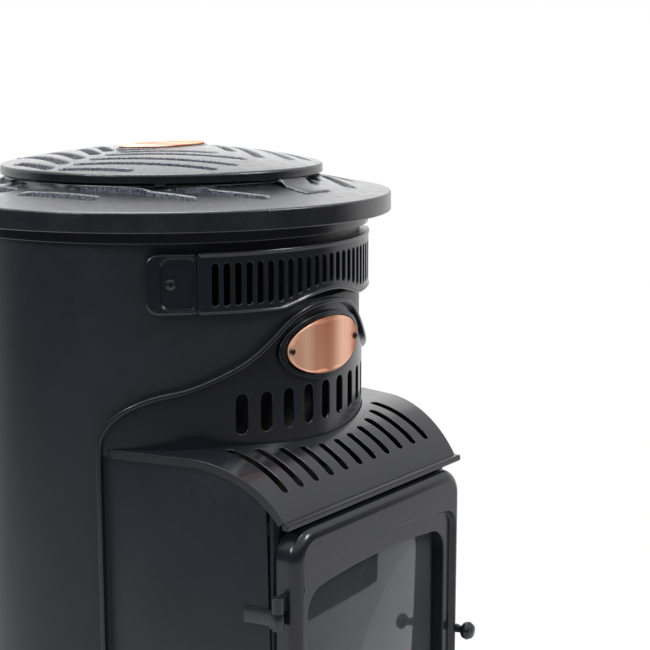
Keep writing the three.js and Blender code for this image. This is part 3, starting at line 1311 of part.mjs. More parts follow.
function rearPanel() {
  const low = REAR_LOW - REAR_LAP_H;
  const high = REAR_HIGH + REAR_LAP_H;
  const sheet = sheetArc(BEHIND - REAR_EDGE, BEHIND + REAR_EDGE, REAR_IN, REAR_OUT, low, high, 30);
  const slot = slotShape(REAR_VENT_W, REAR_VENT_H);
  const vents = [];
  for (let i = 0; i < REAR_VENTS; i++) {
    const angle = BEHIND + (i - (REAR_VENTS - 1) / 2) * REAR_VENT_PITCH;
    for (const z of [REAR_VENT_Z - REAR_VENT_H, REAR_VENT_Z + REAR_VENT_H]) {
      vents.push(drumCutter(slot, angle, z, REAR_IN - SLACK, REAR_OUT + SLACK));
    }
  }
  const eyes = REAR_HINGES.map((start) => {
    const [from, to] = [start + HINGE_H + FIT, start + 2 * HINGE_H];
    const root = BEHIND - REAR_EDGE + 1;
    const arm = sheetArc(REAR_HINGE_ANGLE, root, REAR_OUT - SHEET / 2, REAR_HINGE_R, from, to, 2);
    return join(rearRod(REAR_HINGE_KNUCKLE, from, to), arm);
  });
  const bores = REAR_HINGES.map((start) => rearRod(REAR_PIN_R + RUN, start, start + 3 * HINGE_H));
  return cut(join(sheet, ...eyes), ...vents, ...bores);
}
add('rear_panel', rearPanel(), drumBlack);

function rearHinge(low) {
  const knuckle = rearRod(REAR_HINGE_KNUCKLE, low, low + HINGE_H);
  const pin = rearRod(REAR_PIN_R, low + HINGE_H - SLACK, low + 2 * HINGE_H - FIT);
  const high = low + HINGE_H;
  const [leafEnd, bend] = [REAR_HINGE_ANGLE - REAR_LEAF_SPAN, REAR_HINGE_ANGLE - REAR_HINGE_STEP];
  const leaf = sheetArc(leafEnd, REAR_HINGE_ANGLE - REAR_HINGE_STEP / 3, REAR_IN, REAR_OUT, low, high, 3);
  const arm = sheetArc(bend, REAR_HINGE_ANGLE, REAR_IN, REAR_HINGE_R, low, high, 2);
  return join(knuckle, pin, leaf, arm);
}
add('rear_hinge_upper', rearHinge(REAR_HINGES[1]), screwBlack);
add('rear_hinge_lower', rearHinge(REAR_HINGES[0]), screwBlack);

// A bow handle standing off the rear door.
function rearHandle() {
  const half = HANDLE_H / 2;
  const bend = HANDLE_REACH - HANDLE_ROD_R;
  const path = new THREE.CurvePath();
  const corners = [[-half, 0], [-half, bend], [half, bend], [half, 0]]
    .map(([z, out]) => new THREE.Vector3(0, z, out));
  const nearEnd = corners[1].clone().lerp(corners[0], 0.5);
  const nearTop = corners[1].clone().lerp(corners[2], 0.08);
  const farTop = corners[2].clone().lerp(corners[1], 0.08);
  const farEnd = corners[2].clone().lerp(corners[3], 0.5);
  path.add(new THREE.LineCurve3(corners[0], nearEnd));
  path.add(new THREE.QuadraticBezierCurve3(nearEnd, corners[1], nearTop));
  path.add(new THREE.LineCurve3(nearTop, farTop));
  path.add(new THREE.QuadraticBezierCurve3(farTop, corners[2], farEnd));
  path.add(new THREE.LineCurve3(farEnd, corners[3]));
  const section = new THREE.Shape();
  for (let i = 0; i < 8; i++) {
    const turn = 2 * Math.PI * i / 8;
    const point = [HANDLE_ROD_R * Math.cos(turn), HANDLE_ROD_R * Math.sin(turn)];
    if (i === 0) section.moveTo(...point);
    else section.lineTo(...point);
  }
  return toSolid(new THREE.ExtrudeGeometry(section, { steps: 16, extrudePath: path, bevelEnabled: false }));
}
standOnDrum(add('rear_handle', rearHandle(), plasticBlack), HANDLE_ANGLE, REAR_OUT + FIT, REAR_VENT_Z);

// ---------------------------------------------------------------- heat shield and firebox

const PIPE_HOLE_X = -TRAY_W / 2 - PIPE_R;
const PIPE_HOLE_Z = TRAY_Z + TRAY_H / 2;

function heatShield() {
  const front = SHIELD_FORWARD + SHEET;
  const half = Math.sqrt(DRUM_CLEAR ** 2 - front ** 2);
  const plate = box(-half, half, -front, -SHIELD_FORWARD, FLOOR_Z, PANEL_Z - SHIELD_DROP);
  return cut(plate, pipeHole(front + SLACK, SHIELD_FORWARD - SLACK));
}
add('heat_shield', heatShield(), zinc);

function fireboxLiner() {
  const front = FRAME_BACK - FIT;
  const high = LIP_Z - LINER_DROP;
  const outer = box(-LINER_HALF_W, LINER_HALF_W, -front, -LINER_BACK, LINER_Z, high);
  const half = LINER_HALF_W - SHEET;
  const inner = box(-half, half, -front - SLACK, -LINER_BACK - SHEET, LINER_Z + SHEET, high - SHEET);
  const flueHalf = LINER_FLUE_W / 2;
  const [flueFront, flueRear] = [-TRAY_Y - LINER_FLUE_D / 2, -TRAY_Y + LINER_FLUE_D / 2];
  const flue = box(-flueHalf, flueHalf, flueFront, flueRear, high - 2 * SHEET, high + SLACK);
  return cut(outer, inner, flue, pipeHole(LINER_BACK + 2 * SHEET, LINER_BACK - SLACK));
}
add('firebox_liner', fireboxLiner(), zinc);

function burnerTray() {
  const [half, deep] = [TRAY_W / 2, TRAY_D / 2];
  const high = TRAY_Z + TRAY_H;
  const body = box(-half, half, -TRAY_Y - deep, -TRAY_Y + deep, TRAY_Z, high);
  const [innerHalf, innerDeep] = [half - TRAY_WALL, deep - TRAY_WALL];
  return cut(body, box(-innerHalf, innerHalf, -TRAY_Y - innerDeep, -TRAY_Y + innerDeep,
    high - TRAY_RECESS, high + SLACK));
}
add('burner_tray', burnerTray(), zinc);

function emberBed() {
  const half = TRAY_W / 2 - TRAY_WALL - FIT;
  const deep = TRAY_D / 2 - TRAY_WALL - FIT;
  const body = box(-half, half, -TRAY_Y - deep, -TRAY_Y + deep, EMBER_Z, EMBER_Z + EMBER_T);
  const [low, high] = [EMBER_Z + EMBER_T / 2, EMBER_Z + EMBER_T + SLACK];
  const grooves = [];
  for (let i = 0; i < EMBER_GROOVES; i++) {
    const x = (i - (EMBER_GROOVES - 1) / 2) * TRAY_W / (EMBER_GROOVES + 1);
    const [front, rear] = [-TRAY_Y - deep / 2, -TRAY_Y + deep / 2];
    grooves.push(plateSlot([x, front], [x, rear], EMBER_GROOVE_W, low, high));
  }
  return cut(body, ...grooves);
}
add('ember_bed', emberBed(), ceramicEmber);

// A ceramic log: an uneven round with slightly tapered ends, lying along X.
function ceramicLogBody(length, radius) {
  const half = length / 2;
  const geometry = new THREE.LatheGeometry([
    [0, -half], [radius * 0.8, -half], [radius, -half * 0.7], [radius * 0.88, -half * 0.2],
    [radius * 0.97, half * 0.4], [radius * 0.78, half], [0, half],
  ].map(([r, y]) => new THREE.Vector2(r, y)), 12);
  geometry.rotateZ(Math.PI / 2);
  return toSolid(geometry);
}

const LOG_Z = EMBER_Z + EMBER_T + FIT;
for (const [name, length, place, radius, forward, turn] of LOGS) {
  const log = add(name, ceramicLogBody(length * TRAY_W, radius), ceramicLog);
  log.rotation.z = radians(turn);
  log.position.set(place * TRAY_W, -TRAY_Y - forward, LOG_Z + radius);
}

// Pilot burner, electrode and bracket, standing on the liner's floor beside the tray.
function pilotAssembly() {
  const x = TRAY_W / 2 + PILOT_GAP;
  const low = TRAY_Z;
  const shelfTop = low + 2 * TRAY_H;
  const half = PILOT_D / 2;
  const plate = box(x - PILOT_T, x + half, -TRAY_Y - half, -TRAY_Y + half, low, low + SHEET);
  const post = box(x - PILOT_T, x, -TRAY_Y - half, -TRAY_Y + half, low, shelfTop);
  const shelf = box(x - PILOT_REACH, x, -TRAY_Y - half, -TRAY_Y + half, shelfTop - PILOT_T, shelfTop);
  const jetX = x - 0.4 * PILOT_REACH;
  const electrodeX = x - 0.7 * PILOT_REACH;
  const jet = rod(JET_R, shelfTop - JET_H / 2, shelfTop + JET_H / 2, 12, jetX, -TRAY_Y - half / 3);
  const electrode = rod(ELECTRODE_R, shelfTop - ELECTRODE_H / 2, shelfTop + ELECTRODE_H / 2, 8,
    electrodeX, -TRAY_Y + half / 2);
  return join(plate, post, shelf, jet, electrode);
}
add('pilot_assembly', pilotAssembly(), brassYellow);

// ---------------------------------------------------------------- controls under the lid

function controlPanel() {
  const low = PANEL_Z - SHEET;
  const disc = rod(DRUM_CLEAR, low, PANEL_Z, DRUM_SIDES);
  const front = box(-DRUM_R, DRUM_R, -DRUM_R, -PANEL_FRONT, low - SLACK, PANEL_Z + SLACK);
  const hole = (radius, x) => rod(radius + RUN, low - SLACK, PANEL_Z + SLACK, 12, x, CONTROL_BACK);
  return cut(disc, front, hole(SPINDLE_R, -CONTROL_ACROSS), hole(IGNITER_STEM_R, CONTROL_ACROSS));
}
add('control_panel', controlPanel(), hoodBlack);

const VALVE_TOP = PANEL_Z - SHEET - FIT;

function gasValve() {
  const [x, y] = [-CONTROL_ACROSS, CONTROL_BACK];
  const [half, deep] = [VALVE_W / 2, VALVE_D / 2];
  const body = box(x - half, x + half, y - deep, y + deep, VALVE_TOP - VALVE_H, VALVE_TOP);
  const floor = VALVE_TOP - SPINDLE_DOWN - PUSH_TRAVEL - SLACK;
  return cut(body, rod(SPINDLE_R + RUN, floor, VALVE_TOP + SLACK, 12, x, y));
}
add('gas_valve', gasValve(), brassYellow);

// The nozzle behind the tap that the regulator's hose pushes on to: a union, a barb and a bore.
function gasInlet() {
  const bore = INLET_R / 2;
  const union = INLET_L / 3;
  const geometry = new THREE.LatheGeometry([
    [0, 0], [INLET_UNION_R, 0], [INLET_UNION_R, union], [INLET_R, union], [INLET_BARB_R, 2 * union - 1],
    [INLET_R, 2 * union], [INLET_R, INLET_L], [bore, INLET_L], [bore, union / 2], [0, union / 2],
  ].map(([r, y]) => new THREE.Vector2(r, y)), 10);
  geometry.translate(-CONTROL_ACROSS, CONTROL_BACK + VALVE_D / 2 + FIT, VALVE_TOP - VALVE_H / 2);
  return toSolid(geometry);
}
add('gas_inlet', gasInlet(), brassYellow);

function valveSpindle() {
  const [low, high] = [VALVE_TOP - SPINDLE_DOWN, PANEL_Z + SPINDLE_UP];
  return rod(SPINDLE_R, low, high, 12, -CONTROL_ACROSS, CONTROL_BACK);
}
add('valve_spindle', valveSpindle(), brassYellow);

function controlKnob() {
  const low = PUSH_TRAVEL + 2 * FIT;
  const high = low + TAP_KNOB_H;
  const body = turned([
    [0, low], [TAP_KNOB_R, low], [TAP_KNOB_R, low + TAP_KNOB_H * 0.4],
    [TAP_KNOB_R * 0.85, high - TAP_GRIP_H], [0, high - TAP_GRIP_H],
  ], 28);
  const gripHalf = TAP_KNOB_R * 0.8;
  const grip = box(-TAP_GRIP_W / 2, TAP_GRIP_W / 2, -gripHalf, gripHalf, high - 2 * TAP_GRIP_H, high);
  const bore = rod(SPINDLE_R + RUN, low - SLACK, SPINDLE_UP + FIT);
  return cut(join(body, grip), bore);
}
add('control_knob', controlKnob(), plasticBlack).position.set(-CONTROL_ACROSS, CONTROL_BACK, PANEL_Z);

function igniterBody() {
  const [x, y] = [CONTROL_ACROSS, CONTROL_BACK];
  const floor = VALVE_TOP - IGNITER_H / 2 - IGNITER_TRAVEL - SLACK;
  const body = rod(IGNITER_R, VALVE_TOP - IGNITER_H, VALVE_TOP, 20, x, y);
  return cut(body, rod(IGNITER_STEM_R + RUN, floor, VALVE_TOP + SLACK, 12, x, y));
}
add('igniter_body', igniterBody(), plasticBlack);

function igniterButton() {
  const low = PANEL_Z + IGNITER_TRAVEL + FIT;
  const [x, y] = [CONTROL_ACROSS, CONTROL_BACK];
  const cap = rod(IGNITER_CAP_R, low, low + IGNITER_CAP_H, 20, x, y);
  return join(cap, rod(IGNITER_STEM_R, VALVE_TOP - IGNITER_H / 2, low + SLACK, 12, x, y));
}
add('igniter_button', igniterButton(), plasticBlack);

// Gas pipe from the tap, down beside the cylinder bay, through the shield to the burner.
function gasPipe() {
  const [x, y, z] = [-CONTROL_ACROSS - VALVE_W / 2 - FIT, CONTROL_BACK, VALVE_TOP - VALVE_H / 2];
  const atShield = (ahead) => [PIPE_HOLE_X, -SHIELD_FORWARD - ahead, PIPE_HOLE_Z];
  const place = (height) => ([across, back, rise]) => [across * DRUM_R, back * DRUM_R, height + rise];
  const path = new THREE.CatmullRomCurve3([
    [x, y, z], [x - 2 * PIPE_LEAD, y, z],
    ...PIPE_UPPER.map(place(z)),
    ...PIPE_LOWER.map(place(PIPE_HOLE_Z)),
    atShield(-2 * PIPE_LEAD), atShield(-PIPE_LEAD), atShield(PIPE_LEAD / 2),
    [PIPE_HOLE_X, -TRAY_Y + TRAY_D / 2 - PIPE_LEAD, PIPE_HOLE_Z],
  ].map((point) => new THREE.Vector3(...point)), false, 'centripetal');
  const section = new THREE.Shape();
  for (let i = 0; i < PIPE_SIDES; i++) {
    const turn = 2 * Math.PI * i / PIPE_SIDES;
    const point = [PIPE_R * Math.cos(turn), PIPE_R * Math.sin(turn)];
    if (i === 0) section.moveTo(...point);
    else section.lineTo(...point);
  }
  const options = { steps: PIPE_STEPS, extrudePath: path, bevelEnabled: false };
  return toSolid(new THREE.ExtrudeGeometry(section, options));
}
add('gas_pipe', gasPipe(), zinc);

export default stove;
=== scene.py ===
# %% [markdown]
# # A round stove on castors, dressed for the camera
#
# The object is a portable cabinet heater in the style of a potbelly stove: a rolled steel drum under a
# slotted cast top, with a louvred band, a sweeping apron with an oval badge, and a glazed housing in front.
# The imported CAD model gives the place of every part. This script lays finer skins over those solids,
# gives each of them a material, and sets up a plain studio.

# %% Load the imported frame
import json
import math

import bmesh
import bpy
import numpy as np
from mathutils import Matrix, Vector
from mathutils.geometry import delaunay_2d_cdt


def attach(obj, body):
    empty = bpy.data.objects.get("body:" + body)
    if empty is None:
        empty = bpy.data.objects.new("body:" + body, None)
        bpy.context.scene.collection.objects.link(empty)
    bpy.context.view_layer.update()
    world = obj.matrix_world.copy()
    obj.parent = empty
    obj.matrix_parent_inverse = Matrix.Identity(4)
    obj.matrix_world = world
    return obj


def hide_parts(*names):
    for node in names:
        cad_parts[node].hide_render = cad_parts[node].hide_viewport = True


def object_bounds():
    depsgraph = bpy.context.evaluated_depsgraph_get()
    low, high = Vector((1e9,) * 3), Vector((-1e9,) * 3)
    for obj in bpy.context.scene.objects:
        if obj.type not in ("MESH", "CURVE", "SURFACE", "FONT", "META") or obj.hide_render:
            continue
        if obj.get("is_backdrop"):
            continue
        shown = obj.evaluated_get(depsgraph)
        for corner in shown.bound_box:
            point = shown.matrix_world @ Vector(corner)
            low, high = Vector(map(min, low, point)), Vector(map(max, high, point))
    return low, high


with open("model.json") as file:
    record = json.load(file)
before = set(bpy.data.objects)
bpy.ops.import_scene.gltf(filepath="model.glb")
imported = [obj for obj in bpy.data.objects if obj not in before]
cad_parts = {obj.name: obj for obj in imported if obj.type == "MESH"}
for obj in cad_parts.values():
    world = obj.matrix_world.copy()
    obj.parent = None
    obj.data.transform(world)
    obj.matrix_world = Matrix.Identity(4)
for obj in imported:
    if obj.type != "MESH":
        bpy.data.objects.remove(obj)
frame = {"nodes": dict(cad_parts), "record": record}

cad_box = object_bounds()
nodes = frame["nodes"]

# %% [markdown]
# ## The camera
#
# A camera comes first, because it says which surfaces matter most. Its place was worked out from the round
# edges of the top and from the pitch of the slots: a long lens, ten degrees above the horizon.

# %% Camera
MM = 0.001
AXIS_Y = 32.5                 # the drum's axis lies this far behind the middle of the footprint
RIM = 746.1                   # upper edge of the ring plate's rim, the level that others are hung from
CAMERA_SPOT = (-1257.46, -1068.22, RIM + 144.7)
CAMERA_DOWN, CAMERA_TURN = 9.993, -54.778
CAMERA_LENS, CAMERA_SENSOR = 85.49, 36
CAMERA_FAR = 60               # metres


def linked(name, data):
    """A new object at the origin of the scene."""
    thing = bpy.data.objects.new(name, data)
    bpy.context.scene.collection.objects.link(thing)
    return thing


eye = bpy.data.cameras.new("studio_camera")
eye.lens, eye.sensor_width, eye.clip_end = CAMERA_LENS, CAMERA_SENSOR, CAMERA_FAR
camera = linked("studio_camera", eye)
camera.location = [c * MM for c in CAMERA_SPOT]
camera.rotation_euler = (math.radians(90 - CAMERA_DOWN), 0, math.radians(CAMERA_TURN))
bpy.context.scene.camera = camera
print("camera at", [round(c, 3) for c in camera.location])

# %% [markdown]
# ## Materials
#
# Every finish is made from nodes. Two small helpers add a node and feed its sockets, for the materials and
# for the Geometry Nodes trees. One function then wires what all painted metals share: two scales of noise
# for colour, a fine bump for the grain of the coat, and a roughness that wanders a little. The noise reads
# Object coordinates, which are metres here, so a scale of 400 is a grain of about 2.5 mm.


# %% Node helpers
def feed(tree, socket, value):
    """Gives a socket a link, a list of links, or a fixed number, colour or material."""
    if isinstance(value, (list, bpy.types.NodeSocket)):
        for source in value if isinstance(value, list) else [value]:
            tree.links.new(source, socket)
    else:
        socket.default_value = (*value, 1) if socket.type == "RGBA" else value


def put(tree, kind, inputs=(), **settings):
    """Adds a node, sets its options and feeds its inputs, by name or by number."""
    node = tree.nodes.new(kind)
    for key, value in settings.items():
        setattr(node, key, value)
    for key, value in dict(inputs).items():
        feed(tree, node.inputs[key], value)
    return node


def sums(tree, operation, first, second):
    """One step of arithmetic on two numbers or sockets."""
    return put(tree, "ShaderNodeMath", {0: first, 1: second}, operation=operation).outputs[0]


def new_material(name):
    material = bpy.data.materials.new(name)
    material.use_nodes = True
    material.node_tree.nodes.clear()
    return material, material.node_tree


def object_coordinates(tree):
    return put(tree, "ShaderNodeTexCoord").outputs["Object"]


def link_noise(tree, place, scale, detail=3.0, roughness=0.55):
    return put(tree, "ShaderNodeTexNoise", {"Scale": scale, "Detail": detail, "Roughness": roughness,
                                            "Vector": place}).outputs["Fac"]


def link_range(tree, value, low, high, start=0.3, end=0.7):
    return put(tree, "ShaderNodeMapRange", {"From Min": start, "From Max": end, "To Min": low, "To Max": high,
                                            "Value": value}).outputs["Result"]


def link_mix(tree, share, first, second):
    """A mix of two colours, each fixed or linked."""
    return put(tree, "ShaderNodeMix", {"Factor": share, 6: first, 7: second}, data_type="RGBA").outputs[2]


def link_bump(tree, height, strength, distance, before=None):
    inputs = {"Strength": strength, "Distance": distance, "Height": height}
    if before is not None:
        inputs["Normal"] = before
    return put(tree, "ShaderNodeBump", inputs).outputs["Normal"]


def finish_shader(tree, normal, colour, roughness, **fixed):
    inputs = {key.replace("_", " "): value for key, value in fixed.items()}
    inputs.update({"Base Color": colour, "Roughness": roughness})
    if normal is not None:
        inputs["Normal"] = normal
    shader = put(tree, "ShaderNodeBsdfPrincipled", inputs)
    put(tree, "ShaderNodeOutputMaterial", {0: shader.outputs[0]})


# %% Painted, cast and plated metals
WALL_LEAN, LEVEL_LEAN = 0.35, 0.75      # the upward part of a normal: at most on a wall, at least when level
WALL_FADE = 0.002                       # metres in which the lighter walls end: unpainted iron and a painted highlight


def slot_walls(tree, place, reach):
    """1 on the upright walls of the slots less than reach metres from the middle of a round casting."""
    facing = put(tree, "ShaderNodeSeparateXYZ", {0: put(tree, "ShaderNodeTexCoord").outputs["Normal"]})
    upright = link_range(tree, facing.outputs["Z"], 1.0, 0.0, WALL_LEAN, LEVEL_LEAN)
    middle = (0, AXIS_Y * MM, RIM * MM)
    spread = put(tree, "ShaderNodeVectorMath", {0: place, 1: middle}, operation="DISTANCE")
    inside = link_range(tree, spread.outputs["Value"], 1.0, 0.0, reach - WALL_FADE, reach)
    return sums(tree, "MULTIPLY", upright, inside)


def coated_metal(name, dark, light, rough, grain, grain_height, cloud=9.0, metallic=0.0, specular=0.5,
                 bare_iron_and_highlight=None, reach=0.0):
    """A coat with a fine grain: grain is its scale, grain_height its depth in metres. A pair of colours for
    the slot walls, unpainted iron made lighter as a painted highlight, shows up to reach metres from the
    middle."""
    material, tree = new_material(name)
    place = object_coordinates(tree)
    clouds = link_noise(tree, place, cloud, 4)
    fine = link_noise(tree, place, grain, 4, 0.6)
    colour = link_mix(tree, link_range(tree, clouds, 0.0, 1.0, 0.35, 0.65), dark, light)
    roughness = link_range(tree, link_noise(tree, place, grain / 6, 3), *rough)
    if bare_iron_and_highlight is not None:
        # The slot walls take a paler colour: unpainted iron, made lighter still as a painted highlight on the
        # walls.
        metal = link_mix(tree, link_range(tree, fine, 0.0, 1.0, 0.4, 0.6), *bare_iron_and_highlight)
        colour = link_mix(tree, slot_walls(tree, place, reach), colour, metal)
    normal = link_bump(tree, fine, 1.0, grain_height)
    normal = link_bump(tree, clouds, 0.5, grain_height * 2, normal)
    finish_shader(tree, normal, colour, roughness, Metallic=metallic, Specular_IOR_Level=specular)
    return material


drum_paint = coated_metal("satin_black_drum", (0.0126, 0.0136, 0.0180), (0.0163, 0.0175, 0.0228),
                          (0.36, 0.44), 900, 0.00004, specular=0.3)
hood_paint = coated_metal("satin_black_hood", (0.0105, 0.0108, 0.0152), (0.0130, 0.0134, 0.0188),
                          (0.20, 0.25), 1200, 0.00001, specular=0.42)


def black_casting(name, reach):
    # Pale wall colours: unpainted iron and, partly, a painted highlight.
    bare_iron_and_highlight = (0.085, 0.087, 0.097), (0.36, 0.37, 0.405)
    return coated_metal(name, (0.010, 0.0105, 0.014), (0.017, 0.0175, 0.021), (0.16, 0.26), 520, 0.00030,
                        cloud=30, specular=0.6, bare_iron_and_highlight=bare_iron_and_highlight, reach=reach)


cast_iron = black_casting("stove_black_ring", reach=0.230)
cast_lid = black_casting("stove_black_lid", reach=0.170)
black_oxide = coated_metal("black_oxide_steel", (0.020, 0.021, 0.024), (0.040, 0.041, 0.045), (0.18, 0.28),
                           700, 0.00003, metallic=0.6)
# Zinc sheet coloured nearly black: painted shade for the dark inside of the stove, seen behind vents and
# slots.
plated_steel = coated_metal("zinc_sheet_darkened_as_shade", (0.012, 0.011, 0.010), (0.050, 0.048, 0.045), (0.50, 0.70),
                            260, 0.00003, cloud=40, metallic=0.3, specular=0.2)
bright_zinc = coated_metal("bright_zinc_plate", (0.42, 0.44, 0.47), (0.58, 0.60, 0.63), (0.28, 0.42),
                           500, 0.00002, cloud=30, metallic=1.0)
turned_brass = coated_metal("turned_brass", (0.50, 0.34, 0.12), (0.62, 0.44, 0.18), (0.24, 0.36),
                            900, 0.00002, metallic=1.0)
moulded_black = coated_metal("moulded_black_plastic", (0.012, 0.012, 0.013), (0.018, 0.018, 0.019),
                             (0.42, 0.52), 1500, 0.00003)
grey_rubber = coated_metal("grey_wheel_rubber", (0.040, 0.040, 0.042), (0.060, 0.060, 0.062), (0.70, 0.85),
                           700, 0.00006)
print("metals and plastics ready")


# %% Brushed copper, fibre ceramic and glass
COPPER_RED, COPPER_BRIGHT = (0.62, 0.22, 0.12), (1.0, 0.62, 0.44)      # the two ends of the broad bands, a painted sheen of reflected streaks
# COPPER_DARK_REFLECTION darkens the middle of each plate: a painted dark reflection.
COPPER_LINE, COPPER_DARK_REFLECTION = (0.62, 0.30, 0.19), (0.36, 0.13, 0.075)
MIDDLE_NEAR, MIDDLE_FAR = 0.004, 0.026      # metres to each side in which the painted dark reflection of the middle fades out


def stretched(tree, place, scale):
    return put(tree, "ShaderNodeMapping", {"Scale": scale, "Vector": place}).outputs[0]


def brushed_copper():
    """Copper brushed up and down: fine upright lines, broad bands of painted sheen, and a painted dark
    reflection over the middle.
    """
    material, tree = new_material("brushed_copper")
    place = object_coordinates(tree)
    lines = link_noise(tree, stretched(tree, place, (900, 900, 12)), 1.0, 3)
    # Broad upright bands from COPPER_RED to COPPER_BRIGHT are painted sheen: streaks of reflection painted
    # into the colour.
    bands = link_noise(tree, stretched(tree, place, (26, 0, 2)), 1.0, 1)
    colour = link_mix(tree, link_range(tree, bands, 0.0, 1.0, 0.38, 0.62), COPPER_RED, COPPER_BRIGHT)
    colour = link_mix(tree, link_range(tree, lines, 0.0, 0.25), colour, COPPER_LINE)
    aside = put(tree, "ShaderNodeVectorMath", {0: stretched(tree, place, (1, 0, 0))}, operation="LENGTH")
    # The middle of the plate is darkened as a painted dark reflection.
    middle = link_range(tree, aside.outputs["Value"], 0.45, 0.0, MIDDLE_NEAR, MIDDLE_FAR)
    colour = link_mix(tree, middle, colour, COPPER_DARK_REFLECTION)
    roughness = link_range(tree, lines, 0.40, 0.52)
    finish_shader(tree, link_bump(tree, lines, 0.5, 0.00002), colour, roughness, Metallic=1.0)
    return material


def fibre_ceramic(name, dark, light, char):
    material, tree = new_material(name)
    place = object_coordinates(tree)
    coarse = link_noise(tree, place, 60, 6, 0.65)
    bark = link_noise(tree, place, 240, 5, 0.7)
    colour = link_mix(tree, link_range(tree, coarse, 0.0, 1.0), dark, light)
    colour = link_mix(tree, link_range(tree, bark, 0.0, 0.8, 0.5, 0.7), colour, char)
    normal = link_bump(tree, coarse, 0.8, 0.0016)
    normal = link_bump(tree, bark, 0.8, 0.0006, normal)
    finish_shader(tree, normal, colour, link_range(tree, bark, 0.85, 1.0))
    return material


def tinted_glass():
    material, tree = new_material("heat_proof_glass")
    place = object_coordinates(tree)
    smear = link_noise(tree, place, 14, 4)
    colour = link_mix(tree, link_range(tree, smear, 0.0, 1.0), (0.30, 0.32, 0.34), (0.38, 0.40, 0.42))
    roughness = link_range(tree, smear, 0.0, 0.012)
    finish_shader(tree, None, colour, roughness, Transmission_Weight=0.9, IOR=1.47)
    return material


copper = brushed_copper()
log_ceramic = fibre_ceramic("log_ceramic", (0.16, 0.10, 0.06), (0.34, 0.24, 0.16), (0.05, 0.04, 0.035))
ember_ceramic = fibre_ceramic("ember_ceramic", (0.10, 0.055, 0.035), (0.24, 0.15, 0.10), (0.04, 0.03, 0.03))
door_glass_look = tinted_glass()
print("copper, ceramic and glass ready")

SLOT_LOOKS = {
    "drum_paint": drum_paint, "hood_paint": hood_paint, "cast": cast_iron, "black_steel": black_oxide,
    "copper": copper, "zinc_steel": plated_steel, "wheel_rubber": grey_rubber, "door_glass": door_glass_look,
    "log_ceramic": log_ceramic, "ember_ceramic": ember_ceramic, "brass": turned_brass,
    "black_plastic": moulded_black,
}
slot_of = {row["node"]: row["material_slot"] for row in frame["record"]["subparts"]}
body_of = {n: body for body, members in frame["record"]["behaviour"]["bodies"].items() for n in members}
for name, node in nodes.items():
    node.data.materials.clear()
    node.data.materials.append(SLOT_LOOKS[slot_of[name]])

# %% [markdown]
# ## Skins with exact normals
#
# Pressed sheet is the same form again and again: an outline with slots in it, a rounded edge, a thickness,
# and a surface to bend it on. A skin keeps points, faces and one normal for each face corner, so a long
# flat face next to a tiny rounded edge still shades as flat.


# %% The skin class
class Skin:
    def __init__(self):
        self.points, self.faces, self.normals, self.count = [], [], [], 0

    def add(self, points, normals, faces):
        """One normal for each point; faces are index lists into points."""
        points, normals = np.asarray(points, float), np.asarray(normals, float)
        normals = normals / np.maximum(np.linalg.norm(normals, axis=1, keepdims=True), 1e-12)
        self.points.append(points)
        for face in faces:
            self.faces.append([int(i) + self.count for i in face])
            self.normals.extend(normals[i] for i in face)
        self.count += len(points)

    def build(self, name, material):
        mesh = bpy.data.meshes.new(name)
        mesh.from_pydata((np.concatenate(self.points) * MM).tolist(), [], self.faces)
        mesh.polygons.foreach_set("use_smooth", [True] * len(mesh.polygons))
        mesh.normals_split_custom_set([tuple(n) for n in self.normals])
        mesh.materials.append(material)
        return linked(name, mesh)


def settle(piece, node, *more):
    """The piece hides the CAD nodes that it stands for and moves with their body."""
    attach(piece, body_of[node])
    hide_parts(node, *more)
    print(f"{piece.name}: {len(piece.data.polygons)} faces on {body_of[node]}")
    return piece


# %% Surfaces to bend a sheet on
def on_drum(radius, swell=None):
    """u runs round the drum to the right, v is height, h stands out from the radius."""
    def wrap(u, v, h):
        reach = radius + h + (swell(u, v) if swell else 0)
        angle = u / radius
        return np.stack([reach * np.sin(angle), AXIS_Y - reach * np.cos(angle), v + 0 * u], axis=-1)
    return wrap


# %% Loops: moved, tested and measured
def inset_loop(loop, distance):
    """Moves a closed loop towards the material, which lies to the left of its travel."""
    ahead = np.roll(loop, -1, axis=0) - loop
    ahead /= np.linalg.norm(ahead, axis=1, keepdims=True)
    right = np.stack([ahead[:, 1], -ahead[:, 0]], axis=1)
    before = np.roll(right, 1, axis=0)
    normal = right + before
    normal /= np.linalg.norm(normal, axis=1, keepdims=True)
    miter = 1 / np.maximum((normal * right).sum(1), 0.5)
    return loop - normal * (distance * miter)[:, None], normal


def inside_all(points, loops):
    """Even-odd test of points against closed loops."""
    inside = np.zeros(len(points), bool)
    for loop in loops:
        near = ((points > loop.min(0)) & (points < loop.max(0))).all(1)
        if not near.any():
            continue
        x, y = points[near, :1], points[near, 1:]
        a, b = loop, np.roll(loop, -1, axis=0)
        rise = b[:, 1] - a[:, 1]
        rise[rise == 0] = 1e-12
        left_of = x < (b[:, 0] - a[:, 0]) * (y - a[:, 1]) / rise + a[:, 0]
        crosses = ((a[:, 1] > y) != (b[:, 1] > y)) & left_of
        inside[near] ^= crosses.sum(1) % 2 == 1
    return inside


def loop_distance(points, loop, batch=4000):
    """Distance from each point to a closed loop."""
    best = np.empty(len(points))
    run = np.roll(loop, -1, axis=0) - loop
    for start in range(0, len(points), batch):
        away = points[start:start + batch, None, :] - loop
        share = np.clip((away * run).sum(-1) / np.maximum((run ** 2).sum(-1), 1e-12), 0, 1)
        best[start:start + batch] = np.linalg.norm(away - share[..., None] * run, axis=-1).min(1)
    return best


# %% Caps between loops
CLEAR_SHARE = 0.45            # grid points keep this share of a grid step off every edge
MERGE_CLOSER = 1e-6


